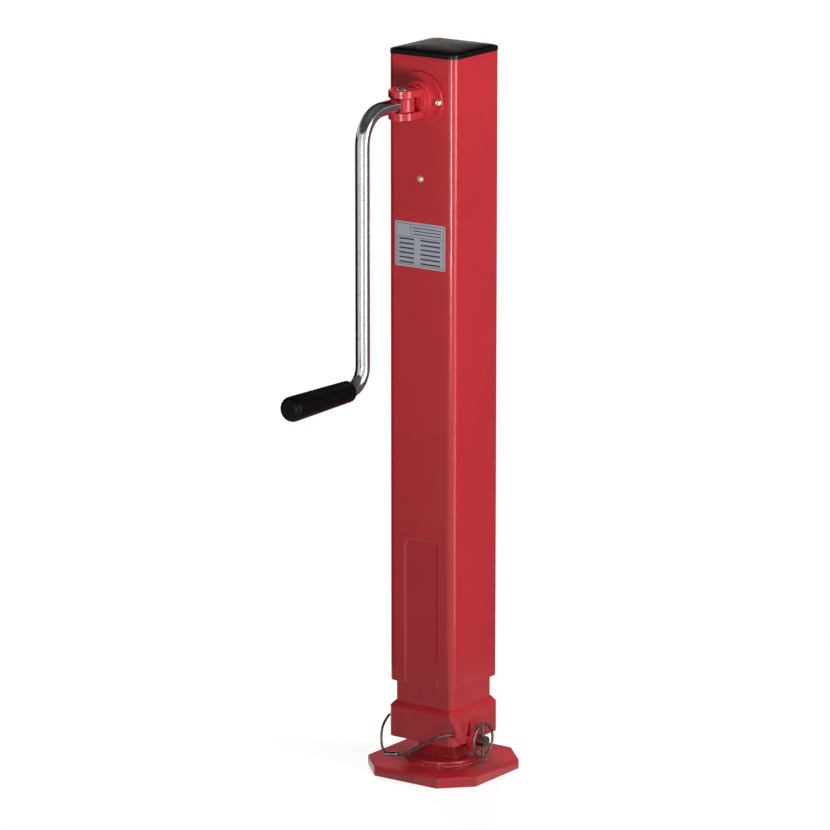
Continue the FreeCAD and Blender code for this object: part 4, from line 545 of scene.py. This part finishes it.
class JACK_OT_screws(bpy.types.Operator):
    """Builds the two button-head screws of the bearing flange, with their hexagon sockets."""

    bl_idname = "jack.screws"
    bl_label = "Flange screws"

    def execute(self, context):
        low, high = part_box("flange_screws")
        radius = (high[2] - low[2]) / 2
        across, seat, height = high[0] - radius, low[1] + SCREW_HEAD, middle_of("flange_screws").z
        socket = context.scene.jack_pieces.socket_width / 2
        shapes = bmesh.new()
        for side in (-1, 1):
            shape = bmesh.new()
            self.build(shape, radius, socket)
            stand_out(shape, Vector((side * across, seat, height)))
            mesh = bpy.data.meshes.new("flange_screw")
            shape.to_mesh(mesh)
            shape.free()
            shapes.from_mesh(mesh)
            bpy.data.meshes.remove(mesh)
        add_piece("flange_screws_socketed", shapes, BODY_OF["flange_screws"], "zinc_plated_steel",
                  "passivated_zinc", ("flange_screws",))
        return {"FINISHED"}

    def build(self, shape, radius, socket):
        """Makes one screw upright, with its head's seat at the origin."""
        shank, length, mouth, depth = 2.5 * MM, 16 * MM, 2.3 * MM, 1.8 * MM
        # The head's outline, as shares of its radius and heights in millimetres.
        head = ((1.0, 0.0), (1.0, 0.7), (0.93, 1.6), (0.79, 2.5), (0.64, 3.0))
        turn_profile(shape, [
            (0, -length), (shank, -length), (shank, 0),
            *((share * radius, height * MM) for share, height in head), (mouth, SCREW_HEAD)])
        rim = [edge for edge in shape.edges if edge.is_boundary]
        bmesh.ops.create_circle(shape, cap_ends=False, segments=6, radius=socket,
                                matrix=Matrix.Translation((0, 0, SCREW_HEAD)))
        hexagon = [edge for edge in shape.edges if edge.is_wire]
        # With seven cuts a side, the hexagon has as many points as the turned rim.
        bmesh.ops.subdivide_edges(shape, edges=hexagon, cuts=7)
        wall = [edge for edge in shape.edges if edge.is_wire]
        bmesh.ops.bridge_loops(shape, edges=rim + wall)
        sides = bmesh.ops.extrude_edge_only(shape, edges=wall)
        floor = [part for part in sides["geom"] if isinstance(part, bmesh.types.BMVert)]
        bmesh.ops.translate(shape, vec=(0, 0, -depth), verts=floor)
        bmesh.ops.contextual_create(shape, geom=[
            part for part in sides["geom"] if isinstance(part, bmesh.types.BMEdge) and part.is_boundary])
        bmesh.ops.recalc_face_normals(shape, faces=shape.faces)


class JACK_OT_grease_nipple(bpy.types.Operator):
    """Builds the grease nipple: a hexagon foot, a neck and a ball mouth."""

    bl_idname = "jack.grease_nipple"
    bl_label = "Grease nipple"

    def execute(self, context):
        low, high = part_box("grease_nipple")
        radius = (high[0] - low[0]) / 2
        shank, length, foot_height = 2.5 * MM, 9 * MM, 1.2 * MM
        # The outline of neck and mouth, as shares of the foot's radius and heights in millimetres.
        neck = ((0.62, 0.2), (0.62, 1.5), (0.42, 1.9), (0.44, 2.3), (0.50, 2.7), (0.40, 3.1),
                (0.14, 3.2), (0.12, 2.6), (0.0, 2.6))
        shape = bmesh.new()
        turn_profile(shape, [
            (0, -length), (shank, -length), (shank, neck[0][1] * MM),
            *((share * radius, height * MM) for share, height in neck)])
        foot = bmesh.ops.create_circle(shape, cap_ends=True, segments=6, radius=radius)
        face = foot["verts"][0].link_faces[0]
        lifted = bmesh.ops.extrude_face_region(shape, geom=[face])
        top = [part for part in lifted["geom"] if isinstance(part, bmesh.types.BMVert)]
        bmesh.ops.translate(shape, vec=(0, 0, foot_height), verts=top)
        bmesh.ops.recalc_face_normals(shape, faces=shape.faces)
        stand_out(shape, Vector((0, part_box("outer_tube")[0][1], middle_of("grease_nipple").z)))
        add_piece("grease_nipple_headed", shape, BODY_OF["grease_nipple"], "zinc_plated_steel",
                  "passivated_zinc", ("grease_nipple",))
        return {"FINISHED"}


class JACK_OT_fold_pin(bpy.types.Operator):
    """Builds the fold pin with its two riveted, domed heads."""

    bl_idname = "jack.fold_pin"
    bl_label = "Fold pin"

    def execute(self, context):
        low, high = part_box("fold_pin")
        reach = (high[2] - low[2]) / 2
        radius = (high[0] - low[0]) / 2
        thick, shank = 3 * MM, 4 * MM
        # The head's outline, as shares of its radius and thickness.
        head = [(0.0, 1.0), (0.35, 0.97), (0.62, 0.86), (0.84, 0.62), (0.96, 0.30), (1.0, 0.04), (1.0, 0.0)]
        upper = [(share * radius, reach - thick + rise * thick) for share, rise in head]
        upper.append((shank, reach - thick))
        shape = bmesh.new()
        turn_profile(shape, upper + [(across, -height) for across, height in reversed(upper)])
        bmesh.ops.translate(shape, vec=middle_of("fold_pin"), verts=shape.verts)
        add_piece("fold_pin_riveted", shape, BODY_OF["fold_pin"], "zinc_plated_steel",
                  replaced=("fold_pin",))
        return {"FINISHED"}


class JACK_OT_rating_plate(bpy.types.Operator):
    """Builds the blank rating plate on the crank's side: a thin silver plate with ruled cells."""

    bl_idname = "jack.rating_plate"
    bl_label = "Rating plate"

    def execute(self, context):
        pieces = context.scene.jack_pieces
        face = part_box("outer_tube")[0][1]
        width, height = pieces.plate_width, pieces.plate_height
        shift, thick, rounding, ink = -0.5 * MM, 0.5 * MM, 2 * MM, 0.06 * MM
        middle = Vector((shift, face, pieces.plate_middle))
        shape = bmesh.new()
        self.add_block(shape, (width, thick, height), middle + FORWARD * thick / 2)
        corners = [edge for edge in shape.edges if abs(edge.verts[0].co.y - edge.verts[1].co.y) > thick / 2]
        bmesh.ops.bevel(shape, geom=corners, offset=rounding, offset_type="OFFSET", affect="EDGES",
                        segments=5, profile=0.5, material=-1)
        add_piece("rating_plate", shape, "housing", "zinc_plated_steel", look="silver_foil")
        print_shape = bmesh.new()
        front = middle + FORWARD * (thick + ink / 2)
        for size, across, up in self.rules(width, height, pieces.plate_rows):
            self.add_block(print_shape, (size[0], ink, size[1]), front + Vector((across, 0, up)))
        add_piece("rating_plate_rules", print_shape, "housing", "black_cap_plastic", look="plate_ink")
        return {"FINISHED"}

    def add_block(self, shape, size, middle):
        """Adds a box of a size about its middle."""
        made = bmesh.ops.create_cube(shape, size=1.0)
        bmesh.ops.scale(shape, vec=size, verts=made["verts"])
        bmesh.ops.translate(shape, vec=middle, verts=made["verts"])

    def rules(self, width, height, rows):
        """Gives (size, across, up) of each printed bar: a border, a heading and ruled rows of cells."""
        line, margins, heading, row = 0.45 * MM, 5 * MM, 1.0 * MM, 1.8 * MM
        inner, tall = width - margins, height - margins
        bars = []
        for side in (-1, 1):
            bars.append(((inner, line), 0, side * tall / 2))
            bars.append(((line, tall), side * inner / 2, 0))
        # The heading block has a bare cell at its left and three lines beside it.
        head = tall / 3.2
        cell, gap = head * 1.3, 6 * MM
        bars.append(((inner, line), 0, tall / 2 - head))
        bars.append(((line, head), cell - inner / 2, tall / 2 - head / 2))
        for index in range(3):
            bars.append(((inner - cell - gap, heading), cell / 2, tall / 2 - head * (index + 1) / 4))
        # Each row has two bars, given as shares of the inner width: how long, and where the middle is.
        step = (tall - head) / rows
        for index in range(rows):
            up = -tall / 2 + step * (index + 0.5)
            for long, across in ((0.32, -0.29), (0.42, 0.22)):
                bars.append(((inner * long, row), inner * across, up))
        return bars


class JACK_OT_wire_sleeve(bpy.types.Operator):
    """Builds the crimped sleeve that closes the retaining wire's loop, on the wire's lowest run."""

    bl_idname = "jack.wire_sleeve"
    bl_label = "Wire sleeve"

    def execute(self, context):
        low = Vector(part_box("retaining_wire")[0])
        wire = 1.4 * MM
        # The run starts near the wire's lowest point and climbs a little to the right.
        start = Vector((-38 * MM, low.y + wire, low.z + 1.3 * wire))
        run = Vector((18 * MM, 0, 2.4 * MM))
        turn = UP.rotation_difference(run).to_matrix().to_4x4()
        # The sleeve's outline, pinched at its middle, as shares of the wire's radius and of the run.
        sleeve = ((1.0, 1.0), (1.0, 0.0), (1.5, 0.0), (1.75, 0.05), (1.75, 0.3), (1.55, 0.38),
                  (1.55, 0.62), (1.75, 0.7), (1.75, 0.95), (1.5, 1.0), (1.0, 1.0))
        shape = bmesh.new()
        turn_profile(shape, [(share * wire, along * run.length) for share, along in sleeve], steps=32)
        bmesh.ops.transform(shape, matrix=Matrix.Translation(start) @ turn, verts=shape.verts)
        add_piece("wire_sleeve", shape, "leg", "zinc_plated_steel")
        return {"FINISHED"}


class JACK_OT_welds(bpy.types.Operator):
    """Lays the rippled weld beads round the foot's disc and tongue."""

    bl_idname = "jack.welds"
    bl_label = "Weld beads"

    def execute(self, context):
        size = context.scene.jack_pieces.weld_size
        spacing, tongue_size = 0.9 * size, 0.8 * size
        low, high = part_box("foot_disc")
        radius, top = high[0], high[2]
        count = round(FULL_TURN * radius / spacing)
        angles = [FULL_TURN * step / count for step in range(count)]
        ring = [Vector((radius * math.cos(angle), radius * math.sin(angle), low[2])) for angle in angles]
        self.lay("disc_weld", ring, size)
        across, deep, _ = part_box("foot_tongue")[1]
        quarters = ((1, 1), (-1, 1), (-1, -1), (1, -1))
        corners = [Vector((x * across, y * deep, top)) for x, y in quarters]
        run = []
        for start, end in zip(corners, corners[1:] + corners[:1]):
            steps = round((end - start).length / spacing)
            run += [start.lerp(end, step / steps) for step in range(steps)]
        self.lay("tongue_weld", run, tongue_size)
        return {"FINISHED"}

    def lay(self, name, places, size):
        """Lays one flattened ripple of weld metal at each place."""
        shape = bmesh.new()
        flattened = Matrix.Scale(0.8, 4, UP)
        for index, place in enumerate(places):
            # Two waves of unlike length along the bead keep the ripples uneven.
            ripple = 1.0 + 0.12 * math.sin(1.7 * index) + 0.06 * math.sin(5.3 * index)
            bmesh.ops.create_icosphere(shape, subdivisions=2, radius=size * ripple,
                                       matrix=Matrix.Translation(place) @ flattened)
        add_piece(name, shape, "foot", "red_enamel")


class JACK_OT_spindle(bpy.types.Operator):
    """Builds the lifting spindle with its left-hand trapezoidal thread."""

    bl_idname = "jack.spindle"
    bl_label = "Spindle"

    def execute(self, context):
        pitch = context.scene.jack_pieces.thread_pitch
        low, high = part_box("spindle")
        foot, top = low[2], high[2]
        # Radii of the thread's crest and root, the shoulder, the journal above it and the gear's seat.
        crest, root, shoulder, journal, seat = 15 * MM, 11.5 * MM, 22 * MM, 12.5 * MM, 10 * MM
        chamfer, shoulder_height, runout, bare = 1 * MM, 8 * MM, 3 * MM, 4 * MM
        shoulder_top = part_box("thrust_lower_washer")[0][2]
        shoulder_foot = shoulder_top - shoulder_height
        gear_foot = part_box("bevel_gear")[0][2]
        shape = bmesh.new()
        turn_profile(shape, [
            (0, foot), (root - chamfer, foot), (root, foot + chamfer), (root, shoulder_foot - runout),
            (crest, shoulder_foot), (shoulder, shoulder_foot), (shoulder, shoulder_top),
            (journal, shoulder_top), (journal, gear_foot),
            (seat, gear_foot), (seat, top - chamfer), (seat - chamfer, top), (0, top)])
        # The thread starts a little above the foot and ends below a bare length under the shoulder.
        start = foot + 2 * MM
        turns = math.floor((shoulder_foot - bare - start) / pitch) - 1
        # The ridge's flanks lean 15 degrees, so it is wider at its root than at its crest, and its foot is
        # sunk a little into the core.
        flank = (crest - root) * math.tan(math.radians(15))
        flat, sunk_root = 0.37 * pitch, root - 0.2 * MM
        ridge = [(sunk_root, start), (crest, start + flank), (crest, start + flank + flat),
                 (sunk_root, start + 2 * flank + flat)]
        verts = [shape.verts.new((radius, 0, height)) for radius, height in ridge]
        edges = [shape.edges.new(pair) for pair in zip(verts, verts[1:] + verts[:1])]
        steps = 32
        bmesh.ops.spin(shape, geom=verts + edges, cent=(0, 0, 0), axis=UP, angle=-FULL_TURN * turns,
                       steps=steps * turns, dvec=(0, 0, pitch / steps))
        ends = [edge for edge in shape.edges if edge.is_boundary]
        bmesh.ops.holes_fill(shape, edges=ends, sides=len(ridge))
        bmesh.ops.recalc_face_normals(shape, faces=shape.faces)
        add_piece("spindle_threaded", shape, BODY_OF["spindle"], "machined_steel", replaced=("spindle",))
        return {"FINISHED"}


def around(azimuth, radius, height):
    """Gives a point at an azimuth round the jack: 0 is the crank's side, and it grows to the right."""
    return Vector((radius * math.sin(azimuth), -radius * math.cos(azimuth), height))


def aim(thing, place, target):
    """Puts a camera or lamp at a place, looking at a target."""
    thing.location = place
    thing.rotation_euler = (target - place).to_track_quat("-Z", "Y").to_euler()


class JACK_OT_stage(bpy.types.Operator):
    """Sets up the pale floor, soft lights, white background and camera."""

    bl_idname = "jack.stage"
    bl_label = "Studio"

    def execute(self, context):
        studio = context.scene.jack_studio
        context.scene.view_settings.view_transform = "Standard"
        self.add_floor()
        # Each card is given by its azimuths in degrees, its outline as (radius, height), its colour and,
        # where it is a bright strip, its strength.
        strip = studio.strip_strength
        self.add_card("dark_card", (-41, -172), ((0.45, 0.0), (0.45, 0.8)), "#0B0B0B")
        self.add_card("mid_card", (-26, -41), ((0.45, 0.0), (0.45, 1.0)), "#9C9A9A")
        self.add_card("back_card", (-100, -190), ((0.7, 0.8), (0.7, 0.99)), "#B8B0AC")
        self.add_card("back_hood", (-100, -190), ((0.68, 0.99), (0.68, 1.5)), "#0A0A0A")
        self.add_card("low_card", (-100, -188), ((0.40, 0.0), (0.40, 0.24)), "#747276")
        self.add_card("front_ground", (-80, 0), ((0.45, 0.002), (0.09, 0.002)), "#B0AEAE")
        self.add_card("right_ground", (95, 190), ((0.45, 0.002), (0.09, 0.002)), "#A0A0A2")
        self.add_card("grey_card", (100, 188), ((0.45, 0.0), (0.45, 0.9)), "#6E6E72")
        self.add_card("hood", (0, 360), ((0.7, 1.02), (0.7, 1.6), (0.0, 1.6)), "#55585D")
        self.add_card("right_strip", (75, 85), ((0.7, 0.0), (0.7, 1.0)), "#FFF6F2", 1.3 * strip)
        self.add_card("left_strip", (17, 25), ((0.7, 0.3), (0.7, 1.0)), "#FFF6F2", 0.7 * strip)
        # Each lamp is given by its azimuth in degrees, its distance from the axis, its height, the height
        # that it looks at, its size and its power.
        self.add_lamp("key_light", 96, 2.0, 0.85, 0.4, (0.7, 1.2), studio.key_power)
        self.add_lamp("front_light", 24, 1.4, 0.44, 0.93, (0.20, 0.30), studio.front_power)
        self.add_lamp("top_light", 80, 0.35, 2.1, 0.75, (0.9, 0.9), studio.top_power)
        back = self.add_lamp("back_light", 225, 1.8, 1.3, 0.5, (0.8, 0.8), studio.back_power)
        # The cap would show this lamp as a white patch.
        back.visible_glossy = False
        self.add_world(context, studio)
        self.add_camera(context, studio)
        return {"FINISHED"}

    def add_seen(self, tree):
        """Adds the test that is 1 for what the eye sees directly, in a reflection or through glass."""
        rays = add_node(tree, "ShaderNodeLightPath")
        direct = add_node(tree, "ShaderNodeMath", {
            0: rays.outputs["Is Camera Ray"], 1: rays.outputs["Is Glossy Ray"]}, operation="MAXIMUM")
        return add_node(tree, "ShaderNodeMath", {
            0: direct, 1: rays.outputs["Is Transmission Ray"]}, operation="MAXIMUM")

    def add_floor(self):
        """Lays a pale floor that keeps the jack's shadow and fades to white further out."""
        shape = bmesh.new()
        bmesh.ops.create_grid(shape, x_segments=1, y_segments=1, size=14.0)
        material, tree, place = new_material("pale_floor")
        mottle = add_node(tree, "ShaderNodeTexNoise", {
            "Vector": place, "Scale": per_mm(400), "Detail": 2.0})
        colour = add_node(tree, "ShaderNodeValToRGB", {"Fac": mottle}, stops=(
            (0.3, linear("#A9A8A6")), (0.7, linear("#AFAEAC"))))
        matt = add_node(tree, "ShaderNodeBsdfDiffuse", {"Color": colour})
        seen = self.add_seen(tree)
        # The floor glows to the eye near the jack, so that it is pale and its shadow is soft.
        lift = add_node(tree, "ShaderNodeMath", {0: seen, 1: 0.70}, operation="MULTIPLY")
        glow = add_node(tree, "ShaderNodeEmission", {"Strength": lift})
        near = add_node(tree, "ShaderNodeAddShader", {0: matt, 1: glow})
        away = add_node(tree, "ShaderNodeVectorMath", {0: place}, operation="LENGTH").outputs["Value"]
        fade = add_node(tree, "ShaderNodeMapRange", {"Value": away, "From Min": 0.16, "From Max": 0.75})
        fade_seen = add_node(tree, "ShaderNodeMath", {0: fade, 1: seen}, operation="MULTIPLY")
        white = add_node(tree, "ShaderNodeEmission", {"Strength": 1.0})
        blend = add_node(tree, "ShaderNodeMixShader", {"Fac": fade_seen, 1: near, 2: white})
        add_node(tree, "ShaderNodeOutputMaterial", {"Surface": blend})
        to_mesh("floor", shape, material)

    def add_card(self, name, sweep, corners, shade, strength=1.0):
        """Stands a curved card round the jack that only reflections see: it draws the lines on gloss."""
        shape = bmesh.new()
        start, end = (math.radians(angle) for angle in sweep)
        verts = [shape.verts.new(around(start, radius, height)) for radius, height in corners]
        edges = [shape.edges.new(pair) for pair in zip(verts, verts[1:])]
        bmesh.ops.spin(shape, geom=verts + edges, cent=(0, 0, 0), axis=UP, angle=end - start, steps=48)
        bmesh.ops.recalc_face_normals(shape, faces=shape.faces)
        material, tree, place = new_material(name)
        nap = add_node(tree, "ShaderNodeTexNoise", {"Vector": place, "Scale": per_mm(60), "Detail": 2.0})
        colour = add_node(tree, "ShaderNodeValToRGB", {"Fac": nap}, stops=(
            (0.3, shaded(linear(shade), 0.9)), (0.7, shaded(linear(shade), 1.1))))
        glow = add_node(tree, "ShaderNodeEmission", {"Color": colour, "Strength": strength})
        add_node(tree, "ShaderNodeOutputMaterial", {"Surface": glow})
        card = to_mesh(name, shape, material)
        card.visible_camera = False
        card.visible_diffuse = False
        card.visible_shadow = False

    def add_lamp(self, name, azimuth, radius, height, target, size, power):
        """Adds a soft box lamp that looks at a height on the jack's axis."""
        data = bpy.data.lights.new(name, "AREA")
        data.shape = "RECTANGLE"
        data.size, data.size_y = size
        data.energy = power
        data.spread = LAMP_SPREAD
        lamp = link(name, data)
        aim(lamp, around(math.radians(azimuth), radius, height), UP * target)
        return lamp

    def add_world(self, context, studio):
        """Lights the jack evenly from all round, and shows white to the eye and in reflections."""
        world = bpy.data.worlds.new("studio_white")
        context.scene.world = world
        world.use_nodes = True
        tree = world.node_tree
        tree.nodes.clear()
        strength = add_node(tree, "ShaderNodeMapRange", {
            "Value": self.add_seen(tree), "To Min": studio.ambient, "To Max": 1.0})
        glow = add_node(tree, "ShaderNodeBackground", {"Color": (1.0, 1.0, 1.0, 1.0), "Strength": strength})
        add_node(tree, "ShaderNodeOutputWorld", {"Surface": glow})

    def add_camera(self, context, studio):
        """Puts the camera at the viewing angle, aimed beside the tube."""
        data = bpy.data.cameras.new("camera")
        data.sensor_width = 36.0
        data.lens = studio.lens
        camera = link("camera", data)
        turn, rise = studio.azimuth, studio.elevation
        side = Vector((math.cos(turn), math.sin(turn), 0.0))
        target = side * studio.aim_side + UP * studio.aim_height
        flat = studio.distance * math.cos(rise)
        aim(camera, target + around(turn, flat, studio.distance * math.sin(rise)), target)
        context.scene.camera = camera


class JACK_PT_sidebar(bpy.types.Panel):
    """Lists the jack's pieces and settings."""

    bl_idname = "JACK_PT_sidebar"
    bl_label = "Screw jack"
    bl_space_type = "VIEW_3D"
    bl_region_type = "UI"
    bl_category = "Screw jack"

    def draw(self, context):
        for operator in OPERATORS:
            self.layout.operator(operator.bl_idname)
        for group, kind in GROUPS.items():
            for name in kind.__annotations__:
                self.layout.prop(getattr(context.scene, group), name)


GROUPS = {"jack_finishes": JackFinishes, "jack_pieces": JackPieces, "jack_studio": JackStudio}
OPERATORS = (
    JACK_OT_finishes, JACK_OT_dressed_parts, JACK_OT_top_cap, JACK_OT_screws, JACK_OT_grease_nipple,
    JACK_OT_fold_pin, JACK_OT_rating_plate, JACK_OT_wire_sleeve, JACK_OT_welds, JACK_OT_spindle,
    JACK_OT_stage,
)


def register():
    """Registers the settings, the operators and the panel."""
    for kind in (*GROUPS.values(), *OPERATORS, JACK_PT_sidebar):
        bpy.utils.register_class(kind)
    for name, group in GROUPS.items():
        setattr(bpy.types.Scene, name, PointerProperty(type=group))


def unregister():
    """Takes away what register added."""
    for name in GROUPS:
        delattr(bpy.types.Scene, name)
    for kind in (JACK_PT_sidebar, *reversed(OPERATORS), *reversed(tuple(GROUPS.values()))):
        bpy.utils.unregister_class(kind)


def main():
    """Dresses the jack and sets up its studio."""
    register()
    bpy.ops.jack.finishes()
    bpy.ops.jack.dressed_parts()
    bpy.ops.jack.top_cap()
    bpy.ops.jack.screws()
    bpy.ops.jack.grease_nipple()
    bpy.ops.jack.fold_pin()
    bpy.ops.jack.rating_plate()
    bpy.ops.jack.wire_sleeve()
    bpy.ops.jack.welds()
    bpy.ops.jack.spindle()
    bpy.ops.jack.stage()


if __name__ == "__main__":
    main()
